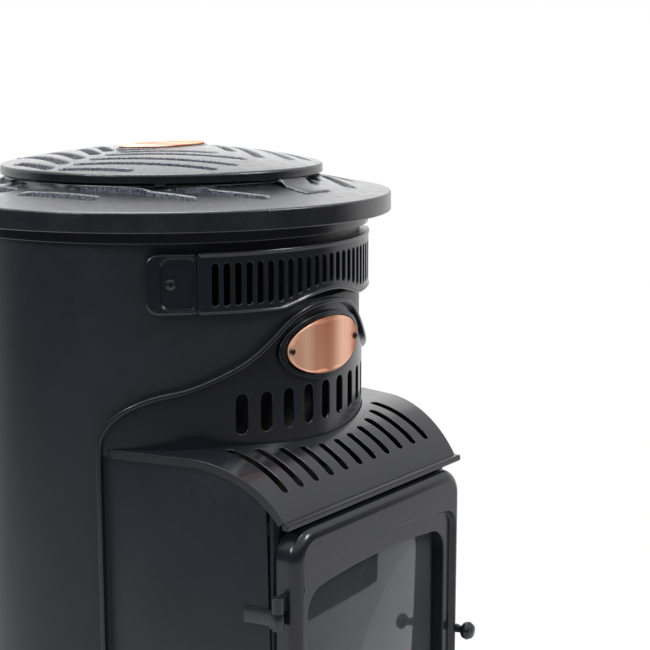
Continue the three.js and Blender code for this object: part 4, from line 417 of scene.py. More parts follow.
def lay_cap(loops, grid, guides):
    """Triangles between closed loops, with grid points so that the cap can bend."""
    step_u, step_v = grid
    low, high = loops[0].min(0), loops[0].max(0)
    us = np.arange(low[0] + step_u / 2, high[0], step_u)
    vs = np.arange(low[1] + step_v / 2, high[1], step_v)
    field = np.array(np.meshgrid(us, vs)).reshape(2, -1).T
    field = field[inside_all(field, loops)]
    clear = CLEAR_SHARE * min(grid)
    edges, count = [], 0
    for loop in [*loops, *guides]:
        close = (field > loop.min(0) - clear).all(1) & (field < loop.max(0) + clear).all(1)
        keep = np.ones(len(field), bool)
        keep[close] = loop_distance(field[close], loop) > clear
        field = field[keep]
        edges += [(count + i, count + (i + 1) % len(loop)) for i in range(len(loop))]
        count += len(loop)
    points = np.concatenate([*loops, *guides, field])
    out, _, faces, *_ = delaunay_2d_cdt([Vector(p) for p in points], edges, [], 0, MERGE_CLOSER)
    flat = np.array([tuple(p) for p in out])
    faces = [f for f in faces if len(f) == 3]
    middles = flat[np.array(faces)].mean(1)
    faces = [f for f, keep in zip(faces, inside_all(middles, loops)) if keep]
    a, b, c = (flat[[f[k] for f in faces]] for k in range(3))
    turn = (b[:, 0] - a[:, 0]) * (c[:, 1] - a[:, 1]) - (b[:, 1] - a[:, 1]) * (c[:, 0] - a[:, 0])
    return flat, [f if t > 0 else f[::-1] for f, t in zip(faces, turn)]


def frame_at(wrap, u, v, h, step=0.02):
    """The surface's two tangents and its outward normal at each point."""
    along_u = wrap(u + step, v, h) - wrap(u - step, v, h)
    along_v = wrap(u, v + step, h) - wrap(u, v - step, h)
    along_u /= np.linalg.norm(along_u, axis=-1, keepdims=True)
    along_v /= np.linalg.norm(along_v, axis=-1, keepdims=True)
    out = np.cross(along_u, along_v)
    return along_u, along_v, out / np.linalg.norm(out, axis=-1, keepdims=True)


# %% Sheets with rounded edges
BACK_SOFT = 0.4               # the back edge of a sheet is never rounder than this


def edge_profile(thickness, soft, flange=None, steps=4):
    """Rows from the face over the edge to the back: inset, height, lean of the normal from the surface's."""
    rows = []
    for k in range(steps + 1):
        t = math.pi / 2 * k / steps
        rows.append((soft * (1 - math.sin(t)), -soft * (1 - math.cos(t)), t))
    if flange:
        depth, wall, tiny = flange
        rows += [(0, tiny - depth, math.pi / 2), (tiny, -depth, math.pi), (wall - tiny, -depth, math.pi),
                 (wall, tiny - depth, 1.5 * math.pi), (wall, -thickness, 1.5 * math.pi)]
        return rows
    back_soft = min(soft, BACK_SOFT)
    for k in range(3):
        t = math.pi / 2 * (1 + k / 2)
        rows.append((back_soft * (1 - math.sin(t)), back_soft * (1 + math.cos(t)) - thickness, t))
    return rows


def quads_between(rows, size, closed=False):
    """Quads between rows of points. Each row closes on itself, and the last one may meet the first."""
    faces, total = [], rows * size
    for i in range(rows if closed else rows - 1):
        for j in range(size):
            a, b = i * size + j, i * size + (j + 1) % size
            faces.append([a, b, (b + size) % total, (a + size) % total])
    return faces


def pressed_sheet(skin, outer, holes, wrap, thickness, soft, grid, flange=None, guides=(), soft_holes=None,
                  steps=4):
    """Adds a bent sheet with rounded edges. The outer loop runs anticlockwise, holes clockwise. A flange is
    the depth and wall of a turned-down edge, and the softness of that wall's end."""
    loops = [outer, *holes]
    soft_holes = soft if soft_holes is None else soft_holes
    profiles = [edge_profile(thickness, soft, flange, steps)]
    profiles += [edge_profile(thickness, soft_holes)] * len(holes)
    for row, height, sign in ((0, 0, 1), (-1, -thickness, -1)):
        cap = [inset_loop(loop, profile[row][0])[0] for loop, profile in zip(loops, profiles)]
        flat, faces = lay_cap(cap, grid, guides)
        u, v = flat.T
        h = np.full(len(u), float(height))
        _, _, out = frame_at(wrap, u, v, h)
        skin.add(wrap(u, v, h), out * sign, faces if sign > 0 else [f[::-1] for f in faces])
    for loop, profile in zip(loops, profiles):
        rows, leans, count = [], [], len(loop)
        for inset, height, lean in profile:
            spot, normal = inset_loop(loop, inset)
            u, v = spot.T
            h = np.full(count, float(height))
            along_u, along_v, out = frame_at(wrap, u, v, h)
            side = along_u * normal[:, :1] + along_v * normal[:, 1:]
            rows.append(wrap(u, v, h))
            leans.append(side * math.sin(lean) + out * math.cos(lean))
        faces = [f[::-1] for f in quads_between(len(rows), count)]
        skin.add(np.concatenate(rows), np.concatenate(leans), faces)


# %% Outlines: slots, rings, rounded polygons
def slot_loop(start, end, width, steps=10):
    """A round-ended slot between two points, running clockwise so that it is a hole."""
    start, end = np.array(start, float), np.array(end, float)
    run = end - start
    length = np.linalg.norm(run)
    along = run / length
    across = np.array([-along[1], along[0]])
    radius = width / 2
    rows = []
    for centre, first in ((end, 90), (start, 270)):
        for k in range(steps + 1):
            t = math.radians(first - 180 * k / steps)
            rows.append(centre + radius * (math.cos(t) * along + math.sin(t) * across))
    return refine(rows, 6)


def refine(loop, longest):
    """Splits the long sides of a closed loop."""
    loop, rows = np.array(loop, float), []
    for a, b in zip(loop, np.roll(loop, -1, axis=0)):
        parts = max(1, math.ceil(np.linalg.norm(b - a) / longest))
        rows += [a + (b - a) * k / parts for k in range(parts)]
    return np.array(rows)


def mirrored(points):
    """The same points on the other side, in the opposite order."""
    return [(-x, y) for x, y in points[::-1]]


def spaced(count, pitch):
    """An odd number of evenly spaced places, the middle one at zero."""
    return [(k - count // 2) * pitch for k in range(count)]


def oval_loop(half, steps=120, clockwise=False):
    turn = np.arange(steps) * (2 * math.pi / steps) * (-1 if clockwise else 1)
    return np.stack([half[0] * np.cos(turn), half[1] * np.sin(turn)], axis=1)


def ring_loop(radius, steps, clockwise=False):
    return oval_loop((radius, radius), steps, clockwise)


def round_corners(corners, radii, steps=6):
    """A closed polygon with an arc at each corner."""
    corners = np.array(corners, float)
    rows = []
    for i, corner in enumerate(corners):
        to_last = corners[i - 1] - corner
        to_next = corners[(i + 1) % len(corners)] - corner
        to_last /= np.linalg.norm(to_last)
        to_next /= np.linalg.norm(to_next)
        radius = radii if np.isscalar(radii) else radii[i]
        half = math.acos(np.clip(to_last @ to_next, -1, 1)) / 2
        reach = radius / math.tan(half)
        middle = corner + (to_last + to_next) / np.linalg.norm(to_last + to_next) * radius / math.sin(half)
        a, b = corner + to_last * reach - middle, corner + to_next * reach - middle
        swing = math.atan2(a[0] * b[1] - a[1] * b[0], a @ b)
        for k in range(steps + 1):
            c, s = math.cos(swing * k / steps), math.sin(swing * k / steps)
            rows.append(middle + np.array([a[0] * c - a[1] * s, a[0] * s + a[1] * c]))
    return np.array(rows)


# %% Sections, swept and turned
def corner_section(corners, radii, steps=4):
    """A rounded section with a normal at each point; corners run anticlockwise."""
    loop = round_corners(corners, radii, steps)
    per = steps + 1
    normals = []
    for i in range(len(corners)):
        arc = loop[i * per:(i + 1) * per]
        before, after = loop[i * per - 1], loop[((i + 1) * per) % len(loop)]
        first, last = arc[0] - before, after - arc[-1]
        t0, t1 = math.atan2(-first[0], first[1]), math.atan2(-last[0], last[1])
        swing = (t1 - t0 + math.pi) % (2 * math.pi) - math.pi
        normals += [(math.cos(t0 + swing * k / steps), math.sin(t0 + swing * k / steps)) for k in range(per)]
    return loop, np.array(normals)


def swept(skin, section, normals, place, count, closed=False):
    """Sweeps a section: place(i) gives origin, x direction and y direction of the section there."""
    size = len(section)
    points, leans = [], []
    for i in range(count):
        origin, x, y = (np.asarray(v, float) for v in place(i))
        points.append(origin + section[:, :1] * x + section[:, 1:] * y)
        leans.append(normals[:, :1] * x + normals[:, 1:] * y)
    points, leans = np.concatenate(points), np.concatenate(leans)
    faces = quads_between(count, size, closed)
    corner, beside, _, beyond = (points[i] for i in faces[0])
    if np.cross(beside - corner, beyond - corner) @ leans[0] < 0:
        faces = [f[::-1] for f in faces]
    skin.add(points, leans, faces)
    if closed:
        return
    for rim, inner in ((points[:size], points[size:2 * size]), (points[-size:], points[-2 * size:-size])):
        outward = rim.mean(0) - inner.mean(0)
        spokes = rim - rim.mean(0)
        order = list(range(size))
        if np.cross(spokes, np.roll(spokes, -1, axis=0)).sum(0) @ outward < 0:
            order.reverse()
        skin.add(rim, np.tile(outward, (size, 1)), [order])


def turned(skin, corners, radii, steps, centre, cross=(1, 0, 0), up=(0, 1, 0), axis=(0, 0, 1)):
    """A rounded profile of (radius, distance along the axis), carried round that axis."""
    section, normals = corner_section(corners, radii)
    cross, up = np.array(cross, float), np.array(up, float)
    def place(i):
        t = 2 * math.pi * i / steps
        return centre, math.cos(t) * cross + math.sin(t) * up, axis
    swept(skin, section, normals, place, steps, closed=True)


def tube(skin, inner, outer, low, high, radii, steps, spot=(0, 0)):
    """A turned sleeve with an upright axis; spot is across and back from the drum's axis."""
    corners = [(inner, low), (outer, low), (outer, high), (inner, high)]
    turned(skin, corners, radii, steps, (spot[0], spot[1] + AXIS_Y, 0))


def smooth_step(x, low, high):
    """A smooth step from 0 at low to 1 at high."""
    t = np.clip((x - low) / (high - low), 0, 1)
    return t * t * (3 - 2 * t)


def on_plane(origin, along_u, along_v):
    """A flat surface; h stands out along u cross v."""
    origin, along_u, along_v = (np.array(v, float) for v in (origin, along_u, along_v))
    out = np.cross(along_u, along_v)
    def wrap(u, v, h):
        u, v, h = (np.asarray(x, float)[..., None] for x in (u, v, h))
        return origin + u * along_u + v * along_v + h * out
    return wrap


# %% [markdown]
# ## The drum
#
# The body is one sheet rolled into a drum, with its seam at the back. It has windows behind the louvres and
# vents, a mouth into the firebox, and an opening for the rear door.

# %% Drum shell and collar
DRUM_R = 211
DRUM_TOP = RIM - 6.8
FLOOR = 65.3                  # lower edge of the drum
HOOD_Z = RIM - 233.5          # flat part of the hood
VENT_Z = HOOD_Z + 30.5        # middle of the apron's vents
BAND_Z = RIM - 71.5           # middle of the louvre band
LOUVRE_Z = BAND_Z - 1.5       # middle of its slots
REAR_LOW, REAR_HIGH = FLOOR + 18, DRUM_TOP - 77
REAR_TURN = 57                # half the angle of the opening for the rear door
SEAM_TURN = 179.98            # the sheet's ends stop this far round, at the seam
SHEET_T = 1.6
WINDOWS = [(50, FLOOR + 18, HOOD_Z - 7),               # half the angle, and both edges: mouth of the firebox
           (38.36, LOUVRE_Z - 25, LOUVRE_Z + 25),      # behind the louvres
           (31.96, VENT_Z - 24, VENT_Z + 24)]          # behind the vents
COLLAR_IN, COLLAR_OUT, COLLAR_DEEP = 211.6, 220.5, 26
ROUND = 240                   # steps round a large circle


def round_drum(degrees, radius=DRUM_R):
    return math.radians(degrees) * radius


def window(half_degrees, low, high):
    reach = round_drum(half_degrees)
    return refine([(-reach, low), (-reach, high), (reach, high), (reach, low)], 6)


def drum_shell():
    end, notch = round_drum(SEAM_TURN), round_drum(180 - REAR_TURN)
    right = [(end, FLOOR), (end, REAR_LOW), (notch, REAR_LOW), (notch, REAR_HIGH), (end, REAR_HIGH),
             (end, DRUM_TOP)]
    left = mirrored(right)
    skin = Skin()
    pressed_sheet(skin, refine([left[-1], *right, *left[:-1]], 6), [window(*w) for w in WINDOWS],
                  on_drum(DRUM_R), SHEET_T, 0.3, (6, 30))
    return skin.build("rolled_drum_shell", drum_paint)


settle(drum_shell(), "drum_shell")

skin = Skin()
tube(skin, COLLAR_IN, COLLAR_OUT, DRUM_TOP - COLLAR_DEEP, DRUM_TOP, [0.3, 1.1, 0.8, 0.3], ROUND)
settle(skin.build("collar_under_the_top", hood_paint), "collar_ring")

# %% [markdown]
# ## The cast top
#
# The ring plate is a casting: a deep rim, a face that climbs in two slopes to a bead round the hole, and long
# slots that fan out in each quarter. The slots are holes in plan, so the sheet mesher can make it, with a
# face height that depends on the radius. The rim is turned and meets the face where it is still a plain
# cone. The lid is made the same way: a dome whose edge hangs down as a wall, with a pocket for its plaque.
# Three pads and the two lugs of the hinge are added to it.

# %% Ring plate
QUARTERS = [(-1, -1), (1, -1), (-1, 1), (1, 1)]
RING_R, RING_HOLE_R = 245, 158
RING_SPLIT = 224              # the meshed face ends here, and the turned rim goes on
RING_FACE = ([150, 158, 160, 167, 169, 171, 215, 243], [17, 17, 17, 17, 16.3, 14, 5.5, 0])
RING_BACK = ([150, 158, 207.8, 260], [4, 4, -6.5, -6.5])       # radii, and heights from the rim's edge
RING_T = 10                   # the mesher's thickness, which ring_scale stretches to the real one
RIM_UNDER, RIM_IN, RIM_DEEP = 6.5, 237, 20
NOTCH_HALF, NOTCH_NEAR, NOTCH_FAR = 22, 173, 206               # where the lid's lift tongue lies
RING_SLOT_W, SLOT_SOFT = 16, 1.3
RING_SLOTS_FRONT = [[(0.792, -0.029), (0.759, 0.290)], [(0.669, 0.167), (0.547, 0.608)],
                    [(0.465, 0.522), (0.302, 0.780)]]          # ends, as shares of the radius
RING_SLOTS_REAR = [[(0.755, 0.171), (0.686, 0.400)], [(0.604, 0.343), (0.457, 0.584)],
                   [(0.351, 0.608), (0.229, 0.759)]]


def ring_height(r):
    blend = sum(np.interp(r + d, *RING_FACE) for d in (-1, -0.5, 0, 0.5, 1)) / 5
    return RIM + blend


def ring_face(u, v):
    return ring_height(np.hypot(u, v))


def ring_scale(u, v):
    r = np.hypot(u, v)
    return (ring_height(r) - RIM - np.interp(r, *RING_BACK)) / RING_T


def on_casting(face, scale):
    """u and v are across and back from the drum's axis; face is the height, scale stretches the thickness."""
    def wrap(u, v, h):
        return np.stack([u, v + AXIS_Y, face(u, v) + h * scale(u, v)], axis=-1)
    return wrap


def fanned_slots(radius, front, rear, width):
    """The slots of one front and one rear quarter, mirrored to all four."""
    loops = []
    for across, back in QUARTERS:
        for ends in front if back < 0 else rear:
            loops.append(slot_loop(*[(across * (radius * x), back * (radius * y)) for x, y in ends], width))
    return loops


def ring_plate():
    notch = round_corners([(-NOTCH_HALF, -NOTCH_FAR), (-NOTCH_HALF, -NOTCH_NEAR), (NOTCH_HALF, -NOTCH_NEAR),
                           (NOTCH_HALF, -NOTCH_FAR)], 3)
    holes = [ring_loop(RING_HOLE_R, 200, True), refine(notch, 4),
             *fanned_slots(RING_R, RING_SLOTS_FRONT, RING_SLOTS_REAR, RING_SLOT_W)]
    skin = Skin()
    pressed_sheet(skin, ring_loop(RING_SPLIT, ROUND), holes, on_casting(ring_face, ring_scale), RING_T, 0,
                  (8, 8), soft_holes=SLOT_SOFT)
    rim = [(RING_SPLIT, RIM - RIM_UNDER), (RIM_IN, RIM - RIM_UNDER), (RIM_IN, RIM - RIM_DEEP),
           (RING_R, RIM - RIM_DEEP), (RING_R, RIM), (RING_SPLIT, float(ring_height(RING_SPLIT)))]
    turned(skin, rim, [0.02, 2, 1.2, 1.4, 2.6, 0.02], ROUND, (0, AXIS_Y, 0))
    return skin.build("cast_ring_plate", cast_iron)


# %% Lid
LID_R, LID_T, LID_SOFT = 171.5, 7.5, 2.6
LID_CROWN, LID_FALL = 48, 18.5          # the dome's top above the rim, and its fall to the edge
LID_WALL_R, LID_UNDER = 165, 20.4       # the edge wall starts here and hangs down to this height
LID_SLOT_W = 12
LID_SLOTS = [[(0.414, 0.070), (0.093, 0.472)], [(0.536, 0.064), (0.087, 0.694)],
             [(0.671, 0.064), (0.280, 0.776)], [(0.805, 0.064), (0.461, 0.770)],
             [(0.927, 0.064), (0.805, 0.437)]]
PLAQUE_Z, PLAQUE_HALF = RIM + 47.2, (61, 28.5)
POCKET_HALF, POCKET_DEEP = (62.5, 30), 0.3
BEZEL_HALF, BEZEL_STEPS = (61.2, 28.7), 160
BEZEL = [(0, -5), (3.4, -5), (2.8, 0.3), (0, 0.3)]      # the raised edge round the pocket
PAD_R, PAD_HALF, PAD_LOW, PAD_TURNS = 163, 5, 17.3, (50, 180, 310)
LUG_BACK, LUG_UP, LUG_R, LUG_BORE, LUG_W = 186, 22, 6.5, 3.3, 10      # a lug's eye, from axis and rim
LUG_ROOT, LUG_STEP, LUG_LOW, LUG_HIGH = 161.75, 180, 15.5, 30.5
LUG_LEFTS = (22, -32)


def oval_share(u, v, half):
    return np.sqrt((u / half[0]) ** 2 + (v / half[1]) ** 2)


def dome(u, v):
    return RIM + LID_CROWN - LID_FALL * (np.hypot(u, v) / LID_R) ** 2


def lid_face(u, v):
    sunk = oval_share(u, v, POCKET_HALF) < 1
    return np.where(sunk, np.minimum(dome(u, v), PLAQUE_Z - POCKET_DEEP), dome(u, v))


def lid_scale(u, v):
    deep = dome(u, v) - (RIM + LID_UNDER)
    return np.where(np.hypot(u, v) > LID_WALL_R, deep, LID_T) / LID_T


def lid_lug(skin, left):
    """One eye of the lid's hinge."""
    eye = [(LUG_BACK + LUG_R * math.cos(t), RIM + LUG_UP + LUG_R * math.sin(t))
           for t in (math.radians(degrees) for degrees in range(-90, 91, 10))]
    corners = [(LUG_ROOT, RIM + LID_UNDER), (LUG_STEP, RIM + LID_UNDER), (LUG_STEP, RIM + LUG_LOW), *eye,
               (LUG_ROOT, RIM + LUG_HIGH)]
    bore = ring_loop(LUG_BORE, 32, True) + (LUG_BACK, RIM + LUG_UP)
    wrap = on_plane((left + LUG_W, AXIS_Y, 0), (0, 1, 0), (0, 0, 1))
    pressed_sheet(skin, refine(corners, 4), [bore], wrap, LUG_W, 0.6, (6, 6))


def lid_casting():
    skin = Skin()
    pressed_sheet(skin, ring_loop(LID_R, ROUND), fanned_slots(LID_R, LID_SLOTS, LID_SLOTS, LID_SLOT_W),
                  on_casting(lid_face, lid_scale), LID_T, LID_SOFT, (7, 7), soft_holes=SLOT_SOFT)
    section, normals = corner_section(BEZEL, [0.3, 0.3, 1.0, 0.4])
    wide, deep = BEZEL_HALF
    def place(i):
        t = 2 * math.pi * i / BEZEL_STEPS
        spot = np.array([wide * math.cos(t), deep * math.sin(t), 0])
        out = np.array([deep * math.cos(t), wide * math.sin(t), 0])
        return spot + (0, AXIS_Y, PLAQUE_Z), out / np.linalg.norm(out), (0, 0, 1)
    swept(skin, section, normals, place, BEZEL_STEPS, closed=True)
    low, high = RIM + PAD_LOW, float(dome(PAD_R, 0)) - 1
    for t in np.radians(PAD_TURNS):
        spot = (PAD_R * math.sin(t), -PAD_R * math.cos(t))
        tube(skin, 0.01, PAD_HALF, low, high, [0.004, 0.6, 0.4, 0.004], 24, spot)
    for left in LUG_LEFTS:
        lid_lug(skin, left)
    return skin.build("cast_lid", cast_lid)


settle(ring_plate(), "top_ring_plate")
settle(lid_casting(), "lid_disc")

# %% [markdown]
# ## The two oval plaques
#
# Both plaques are thin plates with a raised edge. The lid's lies flat in its pocket. The front one is bent to
# the drum and stands on a black plate. Both faces are left plain.


# %% Oval plates
PLAQUE_T, PLAQUE_BEAD = 1.6, (1.6, 0.6)                # a bead is a width and a rise
PLATE_T, PLATE_BEAD, PLATE_HALF = 2, (4.3, 1.4), (69.7, 34)
BADGE_Z = RIM - 145.5
PLATE_R = 214.65 + PLATE_T
BADGE_R = PLATE_R + 0.65 + PLAQUE_T


def rimmed(half, bead):
    """A bead just inside an oval's edge."""
    width, rise = bead
    def swell(u, v):
        inset = (1 - oval_share(u, v, half)) * half[1] * 0.5 * (1 + half[0] / half[1] * np.abs(u / half[0]))
        return rise * (1 - smooth_step(inset, width - 0.5, width + 0.5))
    return swell


def oval_plate(name, material, half, thickness, bead, wrap):
    guides = [oval_loop((half[0] - d, half[1] - d)) for d in (bead[0] - 0.8, bead[0], bead[0] + 0.8)]
    skin = Skin()
    pressed_sheet(skin, oval_loop(half), [], wrap, thickness, min(0.7, thickness / 2), (4, 4), guides=guides)
    return skin.build(name, material)


def badge_face(radius, half, bead):
    """An oval's face on the drum, with the badge's middle as its origin."""
    swell = rimmed(half, bead)
    wrap = on_drum(radius, lambda u, v: swell(u, v - BADGE_Z))
    return lambda u, v, h: wrap(u, v + BADGE_Z, h)


lid_bead = rimmed(PLAQUE_HALF, PLAQUE_BEAD)
pocket_face = on_casting(lambda u, v: PLAQUE_Z + PLAQUE_T + lid_bead(u, v), lambda u, v: 1 + 0 * u)
settle(oval_plate("lid_plaque", copper, PLAQUE_HALF, PLAQUE_T, PLAQUE_BEAD, pocket_face), "lid_badge")
settle(oval_plate("badge_black_plate", black_oxide, PLATE_HALF, PLATE_T, PLATE_BEAD,
                  badge_face(PLATE_R, PLATE_HALF, PLATE_BEAD)), "badge_back_plate")
settle(oval_plate("front_plaque", copper, PLAQUE_HALF, PLAQUE_T, PLAQUE_BEAD,
                  badge_face(BADGE_R, PLAQUE_HALF, PLAQUE_BEAD)), "front_badge")

# %% [markdown]
# ## The louvre band
#
# A shallow channel with a bead along both edges and a row of upright slots. Its lower edge arches over the
# badge, so the slots in the middle are shorter. Each end has a rounded tab with a sunk field for its screw.


# %% Louvre band
BAND_FACE, BAND_T, BAND_HALF, BAND_TURN, BAND_CORNER = 221, 3.2, 31, 41, 6
ARCH_RISE, ARCH_TURN = 12.4, 17         # the arch over the badge, and half its angle
LOUVRES, LOUVRE_PITCH, LOUVRE_W = 25, 3.03, 6.6
LOUVRE_HALF, LOUVRE_CLEAR = 21, 8.7     # half the height of a full slot, and the metal left below a short one
TAB_R, TAB_T, TAB_HALF, TAB_TURNS = 220, 4.2, 30.5, (40.6, 54)
FIELD_HALF, FIELD_INNER, FIELD_OUTER = 24.5, 5, 16
FIELD_SINK, FIELD_WALL = 2.5, (-1.8, 0.8)
SCREW_TURN, SCREW_HOLE_R = 47.5, 2.3


def band_low(degrees):
    """The band's lower edge."""
    a = np.abs(degrees)
    arch = sum(np.where(np.abs(a + d) < ARCH_TURN, np.cos(np.radians(90 * (a + d) / ARCH_TURN)), 0)
               for d in (-2, -1, 0, 1, 2)) / 5
    return BAND_Z - BAND_HALF + ARCH_RISE * arch


def band_swell(u, v):
    low = band_low(np.degrees(u / BAND_FACE))
    inset = np.minimum(BAND_Z + BAND_HALF - v, v - low)
    return 1 - smooth_step(inset, 2.6, 4.6)


def band_outline():
    r = BAND_CORNER
    right = round_drum(BAND_TURN, BAND_FACE) - r
    lower = [(u, float(band_low(math.degrees(u / BAND_FACE)))) for u in np.linspace(-right, right, 120)]
    def corner(x, z, first):
        t = np.radians(np.linspace(first, first + 90, 9))
        return [(x + r * math.cos(a), z + r * math.sin(a)) for a in t]
    low, high = BAND_Z - BAND_HALF + r, BAND_Z + BAND_HALF - r
    return [*lower, *corner(right, low, -90)[1:], *corner(right, high, 0), *corner(-right, high, 90),
            *corner(-right, low, 180)[:-1]]


def band_slots():
    top, end = LOUVRE_Z + LOUVRE_HALF, LOUVRE_W / 2
    loops = []
    for degrees in spaced(LOUVRES, LOUVRE_PITCH):
        low = max(top - 2 * LOUVRE_HALF, float(band_low(degrees)) + LOUVRE_CLEAR)
        u = round_drum(degrees, BAND_FACE)
        loops.append(slot_loop((u, low + end), (u, top - end), LOUVRE_W, 8))
    return loops


def sunk_within(outline, sink, wall):
    """How far a face is sunk inside an outline; wall is where the slope starts and ends, measured inwards."""
    def swell(u, v):
        spots = np.stack([np.ravel(u), np.ravel(v)], axis=1)
        depth = loop_distance(spots, outline) * np.where(inside_all(spots, [outline]), 1, -1)
        return -sink * smooth_step(depth, *wall).reshape(np.shape(u))
    return swell


def upright_box(left, right, half):
    """Corners of a box about the band's middle, anticlockwise from the lower left."""
    return [(left, BAND_Z - half), (right, BAND_Z - half), (right, BAND_Z + half), (left, BAND_Z + half)]


def tab(skin, side):
    inner, outer = (round_drum(turn, TAB_R) for turn in TAB_TURNS)
    outline = round_corners(upright_box(inner, outer, TAB_HALF), [5, 14, 14, 5], 10)
    field = upright_box(inner + FIELD_INNER, outer - FIELD_OUTER, FIELD_HALF)
    field = round_corners(field, [3, 9.5, 9.5, 3], 8)
    if side < 0:
        outline, field = outline[::-1] * (-1, 1), field[::-1] * (-1, 1)
    outline, field = refine(outline, 4), refine(field, 3)
    guides = [inset_loop(field, d)[0] for d in (-1.8, -1.1, -0.4, 0.2, 0.8)]
    screw = np.array([(side * round_drum(SCREW_TURN, TAB_R), BAND_Z)])
    pressed_sheet(skin, outline, [screw + ring_loop(SCREW_HOLE_R, 16, True)],
                  on_drum(TAB_R, sunk_within(field, FIELD_SINK, FIELD_WALL)), TAB_T, 3.8, (5, 5),
                  flange=(8.6, 4.4, 0.2), guides=guides, soft_holes=0.4, steps=7)


skin = Skin()
pressed_sheet(skin, refine(band_outline(), 4), band_slots(), on_drum(BAND_FACE, band_swell), BAND_T, 3.0,
              (5, 5), flange=(10.6, 3.4, 0.2), soft_holes=0.7, steps=7)
for side in (-1, 1):
    tab(skin, side)
settle(skin.build("louvre_band_with_tabs", hood_paint), "louvre_band")

# %% [markdown]
# ## The apron
#
# A second sheet wraps the front of the drum above the housing. Its upper edge sweeps up from both sides to
# pass over the badge. A proud strip follows that edge and runs down both sides of the housing to the base.

# %% Apron
APRON_R, APRON_T, APRON_LOW = 214, 2.3, HOOD_Z - 7
APRON_CURVE = [(67.5, 8.2), (64.5, 27.5), (59.2, 42.9), (52, 53.5), (44, 59.8), (36, 70.5), (27.5, 85.3),
               (20.5, 104.5), (14.5, 122), (8, 131.5), (0, 134.7)]       # degrees, and height above the hood
VENTS, VENT_PITCH, VENT_W = 9, 7.241, 13
VENT_HALF = 13.5                        # from a vent's middle to the centre of its round end
STRIP = [(0, 211.3), (5, 211.3), (5, 219), (0, 219)]     # the proud strip: distance inwards, and radius


def smooth_through(points, steps):
    """A Catmull-Rom curve through the points."""
    p = np.array([points[0], *points, points[-1]], float)
    rows = []
    for i in range(1, len(p) - 2):
        for k in range(steps):
            t = k / steps
            rows.append(0.5 * (2 * p[i] + (p[i + 1] - p[i - 1]) * t
                               + (2 * p[i - 1] - 5 * p[i] + 4 * p[i + 1] - p[i + 2]) * t ** 2
                               + (3 * p[i] - p[i - 1] - 3 * p[i + 1] + p[i + 2]) * t ** 3))
    rows.append(p[-2])
    return np.array(rows)


def apron():
    left = [(-round_drum(a, APRON_R), HOOD_Z + rise) for a, rise in APRON_CURVE]
    edge = smooth_through(left + mirrored(left[:-1]), 8)
    skin = Skin()
    outline = np.concatenate([[(edge[0][0], APRON_LOW), (edge[-1][0], APRON_LOW)], (edge - (0, 1.5))[::-1]])
    vents = []
    for degrees in spaced(VENTS, VENT_PITCH):
        u = round_drum(degrees, APRON_R)
        vents.append(slot_loop((u, VENT_Z - VENT_HALF), (u, VENT_Z + VENT_HALF), VENT_W, 12))
    pressed_sheet(skin, refine(outline, 5), vents, on_drum(APRON_R), APRON_T, 0.2, (5, 14), soft_holes=0.8)
    ends = [(edge[0][0], z) for z in np.linspace(FLOOR, HOOD_Z - 6, 60)]
    path = np.array([*ends, *edge, *mirrored(ends)])
    for _ in range(3):
        path[1:-1] = (path[:-2] + 2 * path[1:-1] + path[2:]) / 4
    section, normals = corner_section(STRIP, [0.3, 0.3, 1.7, 1.7], 5)
    def place(i):
        ahead = path[min(i + 1, len(path) - 1)] - path[max(i - 1, 0)]
        ahead /= np.linalg.norm(ahead)
        t = path[i][0] / APRON_R
        inside = np.array([ahead[1] * math.cos(t), ahead[1] * math.sin(t), -ahead[0]])
        return (0, AXIS_Y, path[i][1]), inside, (math.sin(t), -math.cos(t), 0)
    swept(skin, section, normals, place, len(path))
    return skin.build("apron_with_proud_edge", hood_paint)


settle(apron(), "apron_panel")

# %% [markdown]
# ## The hood
#
# One sheet is flat where it meets the drum, then bends down to a lip over the door. It is laid out flat here,
# with v measured along the bend from the lip, and its back edge follows the drum.

# %% Shape of the hood
BEND_R, BEND_END, HOOD_FLAT = 120, 55.2, 178      # the bend's radius and last angle, and where it starts
BEND_RUN = BEND_R * math.radians(BEND_END)
HOOD_REAR, HOOD_FRONT = 89.5, HOOD_FLAT + BEND_R * math.sin(math.radians(BEND_END))
LIP_Z = HOOD_Z - BEND_R * (1 - math.cos(math.radians(BEND_END)))
HOOD_HALF, HOOD_TAPER = 194.5, 40                 # half the rear's width, and what the front loses of it
HOOD_SEAT_R, EDGE_DEEP = 214.6, 8.5
HOOD_SLOTS, HOOD_SLOT_PITCH, HOOD_SLOT_W = 11, 25.3, 9.2
SLOT_FRONT, SLOT_REAR_R = 259.5, 225              # slots run from this distance forward back to this radius
LIP_HALF, LIP_DEEP, LIP_OUT, LIP_IN = 157, 6.6, 6, 1.6


def housing_half(forward):
    return HOOD_HALF - HOOD_TAPER * (forward - HOOD_REAR) / (HOOD_FRONT - HOOD_REAR)


def hood_surface(u, v, h):
    turn = np.radians(BEND_END) - np.clip(v, None, BEND_RUN) / BEND_R
    forward = HOOD_FLAT + (BEND_R + h) * np.sin(turn) - np.maximum(v - BEND_RUN, 0)
    return np.stack([u, AXIS_Y - forward, HOOD_Z - BEND_R + (BEND_R + h) * np.cos(turn)], axis=-1)


def along_bend(forward):
    """Distance from the lip, measured on the sheet, of a point this far forward of the axis."""
    if forward < HOOD_FLAT:
        return BEND_RUN + HOOD_FLAT - forward
    return BEND_RUN - BEND_R * math.asin((forward - HOOD_FLAT) / BEND_R)


# %% Slots, edges and lip of the hood
def hood_slots():
    end = HOOD_SLOT_W / 2
    front = along_bend(SLOT_FRONT - end)
    slots = []
    for x in spaced(HOOD_SLOTS, HOOD_SLOT_PITCH):
        rear = along_bend(math.sqrt(SLOT_REAR_R ** 2 - x ** 2) + end)
        slots.append(slot_loop((x, front), (x, rear), HOOD_SLOT_W, 10))
    return slots


